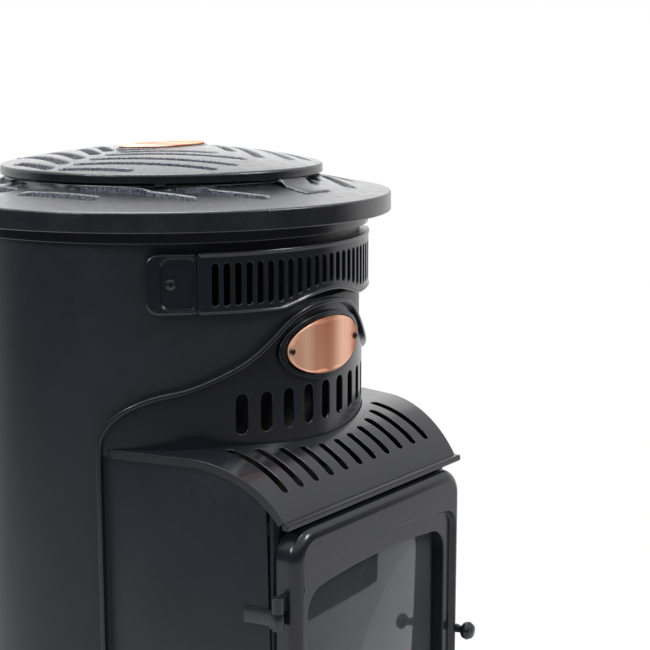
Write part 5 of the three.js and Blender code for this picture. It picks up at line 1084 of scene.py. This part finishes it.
def hood_side(skin, side, meet):
    """The turned-down edge along one side."""
    edge = np.linspace(HOOD_FRONT - 0.5, meet + 1, 70)
    section, normals = corner_section([(-SHEET_T, -EDGE_DEEP), (0, -EDGE_DEEP), (0, 0), (-SHEET_T, 0)],
                                      [0.3, 0.3, 0.7, 0.1])
    def place(i):
        f = edge[i]
        turn = math.asin(max(f - HOOD_FLAT, 0) / BEND_R)
        z = HOOD_Z - BEND_R + BEND_R * math.cos(turn)
        spot = (side * housing_half(f), AXIS_Y - f, z - 0.02)
        return spot, (side, 0, 0), (0, -math.sin(turn), math.cos(turn))
    swept(skin, section, normals, place, len(edge))


def hood_lip(skin):
    """The rounded lip over the door, which shrinks a little at both ends."""
    front, rear = -HOOD_FRONT - LIP_OUT, LIP_IN - HOOD_FRONT
    section, normals = corner_section([(front, LIP_Z - LIP_DEEP), (rear, LIP_Z - LIP_DEEP), (rear, LIP_Z),
                                       (front, LIP_Z)], [1.6, 0.5, 0.4, 1.8], 5)
    reach = [-LIP_HALF, 0.4 - LIP_HALF, 1.2 - LIP_HALF, *np.linspace(3 - LIP_HALF, LIP_HALF - 3, 30),
             LIP_HALF - 1.2, LIP_HALF - 0.4, LIP_HALF]
    shrink = [0.8, 0.94, 0.99] + [1] * 30 + [0.99, 0.94, 0.8]
    middle = np.array([-HOOD_FRONT - 2.2, LIP_Z - LIP_DEEP / 2])
    def place(i):
        k = shrink[i]
        return (reach[i], AXIS_Y + middle[0] * (1 - k), middle[1] * (1 - k)), (0, k, 0), (0, 0, k)
    swept(skin, section, normals, place, len(reach))


def hood():
    skin = Skin()
    seat = HOOD_SEAT_R
    meet = next(f for f in np.arange(HOOD_FRONT, 80, -0.05) if math.hypot(housing_half(f), f) < seat)
    right = [(housing_half(f), along_bend(f)) for f in np.linspace(HOOD_FRONT, meet, 60)]
    swing = math.degrees(math.atan2(housing_half(meet), meet))
    turns = np.radians(np.linspace(swing, -swing, 120))
    back = [(seat * math.sin(t), along_bend(seat * math.cos(t))) for t in turns]
    outline = refine([*right, *back[1:-1], *mirrored(right)], 5)
    pressed_sheet(skin, outline, hood_slots(), hood_surface, SHEET_T, 0.5, (9, 6), soft_holes=0.8)
    for side in (-1, 1):
        hood_side(skin, side, meet)
    hood_lip(skin)
    return skin.build("hood_with_lip", hood_paint)


settle(hood(), "hood")

# %% [markdown]
# ## The door
#
# The door frame is a casting with a pillow-rounded edge, a sunk field with a shallow arch, and a window. Its
# back is hollowed for the glass and its retainer. The height of the face is a function of the distance to the
# sunk field's outline, so the step between the two has one smooth wall all the way round.

# %% Door frame
DOOR_HALF, DOOR_T, DOOR_SOFT, DOOR_CORNER = 151, 25.7, 12, 30
DOOR_FRONT = 262.3 + DOOR_T             # from the drum's axis
DOOR_TOP, DOOR_LOW = LIP_Z - 10, 87
DOOR_SINK, DOOR_WALL = 6, (-2.0, 1.4)
HINGE_LOW, HINGE_HIGH = 16.3, 32        # the door's share of a hinge, from the hinge's foot
DOOR_HINGES, DOOR_PIN = (DOOR_TOP - 92, DOOR_LOW + 60), (-161.5, -273)
STRAP_FRONT, STRAP_BACK, STRAP_START, STRAP_RUN = -276, -270, -156.5, 11.5
# half the width, lower and upper edge, rise of the arch, and radius of the corners
DOOR_FIELD = (138, DOOR_LOW + 13, DOOR_TOP - 37, 11, 14)
DOOR_WINDOW = (125, DOOR_LOW + 26, DOOR_TOP - 58, 8, 22)


def arched(half, low, top, arch, corner):
    """An outline with a shallow arch on top, anticlockwise from the lower left."""
    side = top - arch
    lower = round_corners([(-half, low), (half, low), (half, side), (-half, side)], corner, 10)
    rows = []
    for x, z in refine(lower, 8):
        if z > side - corner - 1e-6:
            z += arch * (1 - (x / half) ** 2)
        rows.append((x, z))
    return np.array(rows)


def door_frame():
    skin = Skin()
    outline = refine(round_corners([(-DOOR_HALF, DOOR_LOW), (DOOR_HALF, DOOR_LOW), (DOOR_HALF, DOOR_TOP),
                                    (-DOOR_HALF, DOOR_TOP)], DOOR_CORNER, 16), 8)
    field, opening = arched(*DOOR_FIELD), arched(*DOOR_WINDOW)
    face = sunk_within(field, DOOR_SINK, DOOR_WALL)
    flat = on_plane((0, AXIS_Y - DOOR_FRONT, 0), (1, 0, 0), (0, 0, 1))
    def wrap(u, v, h):
        return flat(u, v, h + face(u, v))
    guides = [inset_loop(field, d)[0] for d in (-2.4, -1.4, -0.6, 0.2, 1.0, 1.8)]
    pressed_sheet(skin, outline, [opening[::-1]], wrap, DOOR_T - DOOR_SOFT, DOOR_SOFT, (10, 10),
                  flange=(DOOR_T, 16, 0.8), guides=guides, soft_holes=1.6, steps=10)
    for foot in DOOR_HINGES:
        low, high = foot + HINGE_LOW, foot + HINGE_HIGH
        tube(skin, 3.3, 6, low, high, [0.2, 0.6, 0.6, 0.2], 28, DOOR_PIN)
        section, normals = corner_section([(STRAP_FRONT, low), (STRAP_BACK, low), (STRAP_BACK, high),
                                           (STRAP_FRONT, high)], 0.7)
        swept(skin, section, normals,
              lambda i: ((STRAP_START + i * STRAP_RUN, AXIS_Y, 0), (0, 1, 0), (0, 0, 1)), 2)
    return skin.build("cast_door_frame", hood_paint)


settle(door_frame(), "door_frame")

# %% [markdown]
# ## The rear door
#
# The cylinder bay closes with one more rolled sheet, which laps over the drum's opening and has two rows of
# vents. It is laid out like the drum, with a barrel and an arm for each of its hinges.

# %% Rear door
REAR_R, REAR_MIDDLE, REAR_LAP = 212.9, (REAR_LOW + REAR_HIGH) / 2, 8
REAR_VENTS, REAR_VENT_PITCH, REAR_VENT_W, REAR_VENT_HALF, REAR_ROW = 7, 12, 7, 26.5, 60
REAR_HINGES = (REAR_LOW + 90, REAR_HIGH - 122)
REAR_PIN_R, REAR_PIN_TURN, ARM_R = 219, 118.5, 218


def drum_patch(radius, start, end, low, high):
    """Corners of a patch of a round sheet between two angles, anticlockwise from the lower left."""
    left, right = round_drum(start, radius), round_drum(end, radius)
    return [(left, low), (right, low), (right, high), (left, high)]


def rear_door():
    skin = Skin()
    corners = drum_patch(REAR_R, 120, 240, REAR_LOW - REAR_LAP, REAR_HIGH + REAR_LAP)
    vents = []
    for degrees in spaced(REAR_VENTS, REAR_VENT_PITCH):
        u = round_drum(180 + degrees, REAR_R)
        vents += [slot_loop((u, z - REAR_VENT_HALF), (u, z + REAR_VENT_HALF), REAR_VENT_W, 10)
                  for z in (REAR_MIDDLE - REAR_ROW, REAR_MIDDLE + REAR_ROW)]
    pressed_sheet(skin, refine(round_corners(corners, 4), 6), vents, on_drum(REAR_R), SHEET_T, 0.6, (6, 30))
    turn = math.radians(REAR_PIN_TURN)
    pin = (REAR_PIN_R * math.sin(turn), -REAR_PIN_R * math.cos(turn))
    for foot in REAR_HINGES:
        low, high = foot + HINGE_LOW, foot + HINGE_HIGH
        tube(skin, 2.3, 4.5, low, high, [0.2, 0.5, 0.5, 0.2], 24, pin)
        arm = refine(drum_patch(ARM_R, 119.6, 121, low, high), 3)
        pressed_sheet(skin, arm, [], on_drum(ARM_R), 5.3, 0.5, (3, 8))
    return skin.build("rear_door_sheet", drum_paint)


settle(rear_door(), "rear_panel")

# %% [markdown]
# ## Base and plinth
#
# Both follow the keyhole plan of drum and housing, so one outline serves for the base plate and the skirt.


# %% Base plate and plinth skirt
HOUSING_FRONT = 266                     # front of the housing's plan, from the drum's axis
PLINTH_REAR = HOOD_REAR - 30            # the plan's sides are drawn from here, inside the drum
BASE_TOP, BASE_T, BASE_OUT = 65, 3, 10
SKIRT_TOP, SKIRT_DEEP, SKIRT_OUT, SKIRT_IN = 61.7, 45.7, 9, 7
STEM_HOLE_R = 5.3
CASTOR_STEMS = [(-125, 105), (125, 105), (-112, -200), (112, -200)]


def keyhole(outset):
    """The plan of drum and housing, moved outwards."""
    radius = DRUM_R + outset
    front, front_half = HOUSING_FRONT + outset, housing_half(HOUSING_FRONT) + outset
    rear, rear_half = PLINTH_REAR, housing_half(PLINTH_REAR) + outset
    share = next(s for s in np.linspace(0, 1, 4000)
                 if math.hypot(rear_half + (front_half - rear_half) * s, rear + (front - rear) * s) > radius)
    x, f = rear_half + (front_half - rear_half) * share, rear + (front - rear) * share
    start = math.degrees(math.atan2(-f, x))
    turns = np.radians(np.linspace(start, 180 - start, 180))
    arc = [(radius * math.cos(t), radius * math.sin(t)) for t in turns]
    box = [(-front_half, -front), (front_half, -front), (x, -f), (-x, -f)]
    return refine([*round_corners(box, [2, 2, 0.1, 0.1], 5)[:12], *arc], 8)


def flat_face(z):
    return on_casting(lambda u, v: z + 0 * u, lambda u, v: 1 + 0 * u)


skin = Skin()
stems = [ring_loop(STEM_HOLE_R, 24, True) + spot for spot in CASTOR_STEMS]
pressed_sheet(skin, keyhole(BASE_OUT), stems, flat_face(BASE_TOP), BASE_T, 0.6, (40, 40))
settle(skin.build("base_plate_sheet", drum_paint), "base_plate")

skin = Skin()
pressed_sheet(skin, keyhole(SKIRT_OUT), [keyhole(SKIRT_IN)[::-1]], flat_face(SKIRT_TOP), SKIRT_DEEP, 0.4,
              (400, 400))
settle(skin.build("plinth_skirt_sheet", hood_paint), "plinth_skirt")

# %% [markdown]
# ## Screws and bolts
#
# Cross-head screws hold the band and the badge, and four hexagon bolts hold the collar. They are one shape
# set down many times, so each kind is a Geometry Nodes tree. A point stands for each screw and carries the
# turn that lays it against the drum. The head is a cylinder met by a large sphere, which gives the shallow
# dome; a cross of two bars is cut out of it. Modelling each screw by hand would be longer and no better.


# %% Geometry Nodes helpers
def size_tree(name, sizes):
    """A geometry tree with a named number, mostly a length in metres, for each of its sizes."""
    tree = bpy.data.node_groups.new(name, "GeometryNodeTree")
    tree.interface.new_socket("Geometry", in_out="INPUT", socket_type="NodeSocketGeometry")
    for label in sizes:
        tree.interface.new_socket(label, in_out="INPUT", socket_type="NodeSocketFloat")
    tree.interface.new_socket("Geometry", in_out="OUTPUT", socket_type="NodeSocketGeometry")
    return tree, put(tree, "NodeGroupInput").outputs


def raised(tree, solid, height):
    """A solid's mesh, moved up."""
    up = put(tree, "ShaderNodeCombineXYZ", {"Z": height})
    return put(tree, "GeometryNodeTransform", {"Geometry": solid.outputs["Mesh"],
                                               "Translation": up.outputs[0]}).outputs[0]


def end_tree(tree, geometry, material):
    """Every tree ends in Realize Instances and Set Material."""
    real = put(tree, "GeometryNodeRealizeInstances", {"Geometry": geometry})
    painted = put(tree, "GeometryNodeSetMaterial", {"Material": material, "Geometry": real.outputs[0]})
    put(tree, "NodeGroupOutput", {"Geometry": painted.outputs[0]})
    return tree


def made_plain(piece, smooth):
    """The result of a piece's modifiers as a plain mesh, smooth up to an angle."""
    plain = bpy.data.meshes.new_from_object(piece.evaluated_get(bpy.context.evaluated_depsgraph_get()))
    piece.modifiers.clear()
    piece.data = plain
    plain.name = piece.name
    plain.shade_smooth()
    plain.set_sharp_from_angle(angle=math.radians(smooth))
    return piece


def grown(name, tree, sizes, points=(), edges=(), turns=None, smooth=32, start=None):
    """Runs a tree on a few points or on a mesh, and keeps the result."""
    seed = start or bpy.data.meshes.new(name)
    if start is None:
        seed.from_pydata([tuple(c * MM for c in p) for p in points], edges, [])
    if turns is not None:
        seed.attributes.new("turn", "FLOAT_VECTOR", "POINT").data.foreach_set("vector", np.ravel(turns))
    piece = linked(name, seed)
    grow = piece.modifiers.new("grow", "NODES")
    grow.node_group = tree
    for item in tree.interface.items_tree:
        if item.in_out == "INPUT" and item.name in sizes:
            grow[item.identifier] = float(sizes[item.name])
    return made_plain(piece, smooth)


def drum_spots(angles, radius, z):
    """Points on the drum and the turns that lay X upright and Z outward there."""
    points, turns = [], []
    for angle in angles:
        t = math.radians(angle)
        out = Vector((math.sin(t), -math.cos(t), 0))
        up = Vector((0, 0, 1))
        points.append((radius * out.x, AXIS_Y + radius * out.y, z))
        turns.append(Matrix((up, out.cross(up), out)).transposed().to_euler()[:])
    return points, turns


# %% Screws and bolts
# each row: angles, radius and height on the drum, then radius and length of the head and of the shank
FASTENERS = [
    ("badge_screws", "cross", (-14.5, 14.5), 219.8, BADGE_Z, (3.2, 2.2), (1.3, 3.0),
     ("badge_screw_left", "badge_screw_right")),
    ("band_screws", "cross", (-SCREW_TURN, SCREW_TURN), 217.8, BAND_Z, (5.2, 2.2), (2.0, 3.0),
     ("band_screw_left", "band_screw_right")),
    ("collar_bolts", "hexagon", (-5, 85, 175, 265), 220.8, 729.6, (5.12, 3.0), (3.2, 6.0),
     ("collar_bolt_1", "collar_bolt_2", "collar_bolt_3", "collar_bolt_4")),
]
CROSS_W = 1.2
SIZES = ["Head radius", "Head height", "Shank radius", "Shank length", "Cross width"]


def fastener_tree(name, sides, cross):
    """A domed head with the given number of sides on a thin shank, with or without a cross cut into it."""
    tree, (spots, head, high, shank, deep, width, *_) = size_tree(name, SIZES)
    def times(first, second):
        return sums(tree, "MULTIPLY", first, second)
    barrel = put(tree, "GeometryNodeMeshCylinder", {"Vertices": sides, "Radius": head, "Depth": high})
    reach = sums(tree, "DIVIDE", sums(tree, "ADD", times(head, head), times(times(high, high), 0.25)), high)
    ball = put(tree, "GeometryNodeMeshUVSphere", {"Segments": 48, "Rings": 48, "Radius": reach})
    both = [raised(tree, barrel, times(high, 0.5)), raised(tree, ball, sums(tree, "SUBTRACT", high, reach))]
    shape = put(tree, "GeometryNodeMeshBoolean", {"Mesh 2": both}, operation="INTERSECT").outputs["Mesh"]
    if cross:
        for along, over in (("X", "Y"), ("Y", "X")):
            size = put(tree, "ShaderNodeCombineXYZ", {along: times(head, 1.1), over: width, "Z": high})
            bar = put(tree, "GeometryNodeMeshCube", {"Size": size.outputs[0]})
            bar = raised(tree, bar, times(high, 0.95))
            shape = put(tree, "GeometryNodeMeshBoolean", {"Mesh 1": shape, "Mesh 2": bar},
                        operation="DIFFERENCE").outputs["Mesh"]
    stem = put(tree, "GeometryNodeMeshCylinder", {"Vertices": 16, "Radius": shank, "Depth": deep})
    whole = put(tree, "GeometryNodeJoinGeometry", {0: [shape, raised(tree, stem, times(deep, -0.5))]})
    turn = put(tree, "GeometryNodeInputNamedAttribute", {"Name": "turn"}, data_type="FLOAT_VECTOR")
    turn = put(tree, "FunctionNodeEulerToRotation", {"Euler": turn.outputs["Attribute"]})
    placed = put(tree, "GeometryNodeInstanceOnPoints", {
        "Points": spots, "Instance": whole.outputs[0], "Rotation": turn.outputs[0]})
    return end_tree(tree, placed.outputs[0], black_oxide)


heads = {"cross": fastener_tree("cross_head_screw", 40, True),
         "hexagon": fastener_tree("hexagon_bolt", 6, False)}
for name, kind, angles, radius, z, head, shank, members in FASTENERS:
    points, turns = drum_spots(angles, radius, z)
    sizes = {label: size * MM for label, size in zip(SIZES, (*head, *shank, CROSS_W))}
    settle(grown(name, heads[kind], sizes, points, turns=turns), *members)

# %% [markdown]
# ## Handle, knob and wheels
#
# The rear handle is a bent rod, so a tree sweeps a circle along its path. The knob and the castor wheels are
# turned parts: a rounded profile carried round an axis.


# %% Rod, knob and wheels
ROD_R = 5
HANDLE_HALF, HANDLE_STAND, HANDLE_TURN, HANDLE_FOOT_R, HANDLE_MID = 55, 29, 222, 213.2, 372.8
KNOB_SPOT = (142.5, -255.82, 269.04)
PIN = 0.03                    # a profile starts this far from its axis
KNOB_CORNERS = [(PIN, 0), (5, 0), (4, 6.6), (9, 11), (10, 15.4), (7.5, 20.2), (PIN, 21.7)]
KNOB_RADII = [0.01, 0.3, 1.5, 1.2, 1.5, 1.5, 0.01]
WHEEL_R = 22
WHEEL_HALF = [(3.3, -7), (7.5, -7), (8.1, -6.1), (16.4, -6.1), (17, -7), (19, -7), (WHEEL_R, -4)]
WHEEL_CORNERS = WHEEL_HALF + [(r, -side) for r, side in WHEEL_HALF[::-1]]
WHEEL_RADII = [0.3] * 5 + [1.2] * 4 + [0.3] * 5
WHEEL_SPOTS = {"rear_left": (-124.91, 151.6), "rear_right": (124.91, 151.6),
               "front_left": (-112.04, -153.51), "front_right": (112.04, -153.51)}


def rod_tree():
    tree, (path, radius, *_) = size_tree("bent_rod", ["Rod radius"])
    line = put(tree, "GeometryNodeMeshToCurve", {"Mesh": path})
    ring = put(tree, "GeometryNodeCurvePrimitiveCircle", {"Resolution": 32, "Radius": radius})
    rod = put(tree, "GeometryNodeCurveToMesh", {"Fill Caps": True, "Curve": line.outputs[0],
                                                "Profile Curve": ring.outputs[0]})
    return end_tree(tree, rod.outputs[0], moulded_black)


def bent(corner, before, after, steps=12):
    """A corner of the rod: the curve that leaves one side and meets the other."""
    for k in range(steps + 1):
        t = k / steps
        yield [(1 - t) ** 2 * a + 2 * t * (1 - t) * b + t * t * c for a, b, c in zip(before, corner, after)]


low = list(bent((-HANDLE_HALF, HANDLE_STAND), (-HANDLE_HALF, HANDLE_STAND / 2),
                (-0.84 * HANDLE_HALF, HANDLE_STAND)))
bow = [(-HANDLE_HALF, 0), *low, *mirrored(low), (HANDLE_HALF, 0)]
t = math.radians(HANDLE_TURN)
bow = [((HANDLE_FOOT_R + out) * math.sin(t), AXIS_Y - (HANDLE_FOOT_R + out) * math.cos(t), HANDLE_MID + up)
       for up, out in bow]
links = [(k, k + 1) for k in range(len(bow) - 1)]
settle(grown("bow_handle", rod_tree(), {"Rod radius": ROD_R * MM}, bow, links, smooth=50), "rear_handle")

across, back, up = (1, 0, 0), (0, 1, 0), (0, 0, 1)
skin = Skin()
turned(skin, KNOB_CORNERS, KNOB_RADII, 64, KNOB_SPOT, across, up, axis=(0, -1, 0))
settle(skin.build("turned_door_knob", black_oxide), "door_knob")
for corner, spot in WHEEL_SPOTS.items():
    skin = Skin()
    turned(skin, WHEEL_CORNERS, WHEEL_RADII, 64, (*spot, WHEEL_R), back, up, axis=across)
    settle(skin.build("turned_wheel_" + corner, grey_rubber), "castor_wheel_" + corner)

# %% [markdown]
# ## Logs
#
# The logs are cast in fibre ceramic, with bark that never repeats. A tree divides the CAD log finely and
# sinks its surface by noise, always inward, so that the log keeps its place.


# %% Logs
BARK = {"Bark depth": 2.4 * MM, "Bark scale": 110.0}
WELD = 2e-6                   # metres within which the corners of a CAD mesh are one


def bark_tree():
    tree, (log, depth, scale, *_) = size_tree("ceramic_bark", BARK)
    fine = put(tree, "GeometryNodeSubdivideMesh", {"Level": 4, "Mesh": log})
    noise = put(tree, "ShaderNodeTexNoise", {"Detail": 3.0, "Scale": scale})
    sink = sums(tree, "MULTIPLY", depth, sums(tree, "SUBTRACT", noise.outputs[0], 0.95))
    normal = put(tree, "GeometryNodeInputNormal")
    offset = put(tree, "ShaderNodeVectorMath", {0: normal.outputs[0], "Scale": sink}, operation="SCALE")
    moved = put(tree, "GeometryNodeSetPosition", {"Geometry": fine.outputs[0], "Offset": offset.outputs[0]})
    return end_tree(tree, moved.outputs[0], log_ceramic)


def merged_copy(node, dissolve=False):
    """A CAD node's mesh with its loose triangles joined, and the flat ones dissolved if asked."""
    mesh = nodes[node].data.copy()
    shape = bmesh.new()
    shape.from_mesh(mesh)
    bmesh.ops.remove_doubles(shape, verts=shape.verts, dist=WELD)
    if dissolve:
        bmesh.ops.dissolve_limit(shape, angle_limit=math.radians(1), verts=shape.verts, edges=shape.edges)
    shape.to_mesh(mesh)
    shape.free()
    return mesh


bark = bark_tree()
for node in ("log_back", "log_left", "log_right"):
    settle(grown("bark_" + node, bark, BARK, smooth=50, start=merged_copy(node)), node)

# %% [markdown]
# ## Small CAD parts
#
# Hinges, walls, brackets and controls have the right shape already. A copy of each is merged into one closed
# mesh, its flat triangles are dissolved, and a small bevel gives the edges something to catch the light with.


# %% Bevelled copies of CAD parts
CORNERS = tuple(WHEEL_SPOTS)
BRIGHT = {"castor_fork_" + corner for corner in CORNERS} | {"gas_pipe"}
EASED = {                     # the bevel of each in millimetres
    "side_wall_left": 0.4, "side_wall_right": 0.4, "front_frame": 0.5, "lid_tongue": 0.7,
    "lid_hinge_bracket": 0.8, "door_hinge_upper": 0.4, "door_hinge_lower": 0.4,
    "rear_hinge_upper": 0.3, "rear_hinge_lower": 0.3, "door_glass": 0.4, "glass_retainer": 0.2,
    "heat_shield": 0.3, "firebox_liner": 0.4, "burner_tray": 0.6,
    "pilot_assembly": 0.3, "control_panel": 0.3, "gas_valve": 1.0, "valve_spindle": 0.3, "control_knob": 0.8,
    "igniter_body": 0.6, "igniter_button": 0.8, "gas_inlet": 0.2, "ember_bed": 0.8,
    **{"castor_fork_" + corner: 0.4 for corner in CORNERS},
}
PIPE_BEVEL, PIPE_ANGLE = 0.05, 60       # a round pipe is bevelled at its sharp ends only


def eased_copy(node, bevel, angle=32):
    piece = linked(node + "_eased", merged_copy(node, dissolve=True))
    ease = piece.modifiers.new("ease", "BEVEL")
    ease.width, ease.segments = bevel * MM, 2
    ease.limit_method, ease.angle_limit = "ANGLE", math.radians(angle)
    ease.miter_outer = "MITER_ARC"
    made_plain(piece, angle)
    if node in BRIGHT:
        piece.data.materials[0] = bright_zinc
    return settle(piece, node)


for node, bevel in EASED.items():
    eased_copy(node, bevel)
eased_copy("gas_pipe", PIPE_BEVEL, PIPE_ANGLE)

# %% [markdown]
# ## The studio
#
# A pale floor, a white background and four soft lamps, most of the light from above, as over a product table.
# A dark screen curves round the camera's side, so that the upright black faces have something dark to mirror.
# The camera looks through it. The floor shows nearly white to the camera and keeps the shadow next to the
# castors. Metal and glass see the same white around them, through the Light Path node.


# %% Floor
FLOOR_REACH = 12              # metres, as all the studio's lengths
SHADOW_NEAR, SHADOW_FAR = 0.5, 1.3    # the floor's own shading fades out between these distances
SHADOW_SHARE = 0.6
FLOOR_GREY = (0.8, 0.8, 0.8)
WHITE_RAYS = ("Is Camera Ray", "Is Glossy Ray", "Is Transmission Ray")


def seen_by(tree, *rays):
    """1 for the kinds of ray named."""
    path = put(tree, "ShaderNodeLightPath")
    seen = path.outputs[rays[0]]
    for ray in rays[1:]:
        seen = sums(tree, "MAXIMUM", seen, path.outputs[ray])
    return seen


def mix_shaders(tree, share, first, second, output):
    mix = put(tree, "ShaderNodeMixShader", {0: share, 1: first.outputs[0], 2: second.outputs[0]})
    put(tree, output, {0: mix.outputs[0]})


def studio_mesh(name, points, faces, material):
    mesh = bpy.data.meshes.new(name)
    mesh.from_pydata(points, [], faces)
    mesh.materials.append(material)
    return linked(name, mesh)


def pale_floor():
    material, tree = new_material("pale_floor")
    spread = put(tree, "ShaderNodeVectorMath", {0: object_coordinates(tree)}, operation="LENGTH")
    far = link_range(tree, spread.outputs["Value"], 1 - SHADOW_SHARE, 1.0, SHADOW_NEAR, SHADOW_FAR)
    share = sums(tree, "MULTIPLY", seen_by(tree, *WHITE_RAYS), far)
    diffuse = put(tree, "ShaderNodeBsdfDiffuse", {"Color": FLOOR_GREY})
    mix_shaders(tree, share, diffuse, put(tree, "ShaderNodeEmission"), "ShaderNodeOutputMaterial")
    corners = [(x * FLOOR_REACH, y * FLOOR_REACH, 0) for x, y in ((-1, -1), (1, -1), (1, 1), (-1, 1))]
    floor = studio_mesh("studio_floor", corners, [(0, 1, 2, 3)], material)
    floor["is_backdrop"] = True


# %% World and lamps
WORLD_FILL, WORLD_TINT = 0.30, (0.93, 0.96, 1)
FLAG_REACH = 1.95             # from the middle of the stage, behind the camera, which stands 1.65 from it
FLAG_TOP = 1.18
FLAG_SPREAD = 200             # degrees of the circle that it covers
FLAG_PANELS = 24
FLAG_GLOW = 0.05
LAMPS = {                     # place, aim, size, watts and tint
    "top_lamp": ((-0.2, 0.3, 2.9), (0, 0, 0.6), 2.4, 118, (1, 1, 1)),
    "key_lamp": ((0.9, -2.3, 2.3), (0, 0, 0.55), 0.6, 34, (1, 1, 1)),
    "left_lamp": ((-2.6, 0.2, 1.9), (0, 0, 0.6), 0.4, 27, (0.78, 0.87, 1)),
    "back_lamp": ((2.1, 1.8, 2.2), (0, 0, 0.7), 3.0, 17, (1, 1, 1)),
}


def white_world():
    world = bpy.data.worlds.new("studio_world")
    bpy.context.scene.world = world
    world.use_nodes = True
    tree = world.node_tree
    tree.nodes.clear()
    fill = put(tree, "ShaderNodeBackground", {"Color": WORLD_TINT, "Strength": WORLD_FILL})
    white = put(tree, "ShaderNodeBackground", {"Color": (1, 1, 1)})
    mix_shaders(tree, seen_by(tree, *WHITE_RAYS), fill, white, "ShaderNodeOutputWorld")


def soft_lamp(name, spot, aim, size, power, tint):
    light = bpy.data.lights.new(name, "AREA")
    light.shape, light.size, light.energy, light.color = "DISK", size, power, tint
    lamp = linked(name, light)
    lamp.location = spot
    lamp.rotation_euler = (Vector(aim) - Vector(spot)).to_track_quat("-Z", "Y").to_euler()


def dark_flag():
    """A dark curved screen for upright faces to reflect; a camera looks straight through it."""
    material, tree = new_material("dark_flag")
    dark = put(tree, "ShaderNodeEmission", {"Strength": FLAG_GLOW})
    mix_shaders(tree, seen_by(tree, "Is Camera Ray"), dark, put(tree, "ShaderNodeBsdfTransparent"),
                "ShaderNodeOutputMaterial")
    middle = math.atan2(CAMERA_SPOT[1], CAMERA_SPOT[0])
    turns = [middle + math.radians(FLAG_SPREAD * (i / FLAG_PANELS - 0.5)) for i in range(FLAG_PANELS + 1)]
    points = [(FLAG_REACH * math.cos(t), FLAG_REACH * math.sin(t), z) for z in (0.0, FLAG_TOP) for t in turns]
    row = FLAG_PANELS + 1
    panels = [(i, i + row, i + row + 1, i + 1) for i in range(FLAG_PANELS)]
    flag = studio_mesh("studio_flag", points, panels, material)
    flag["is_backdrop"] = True


pale_floor()
white_world()
dark_flag()
for name, lamp in LAMPS.items():
    soft_lamp(name, *lamp)
bpy.context.scene.view_settings.view_transform = "Standard"
print("floor, world and", len(LAMPS), "lamps")

# %% Sizes, and the end
dressed_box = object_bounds()
for label, box in (("dressed", dressed_box), ("CAD", cad_box)):
    print(label, [round(b - a, 4) for a, b in zip(*box)])
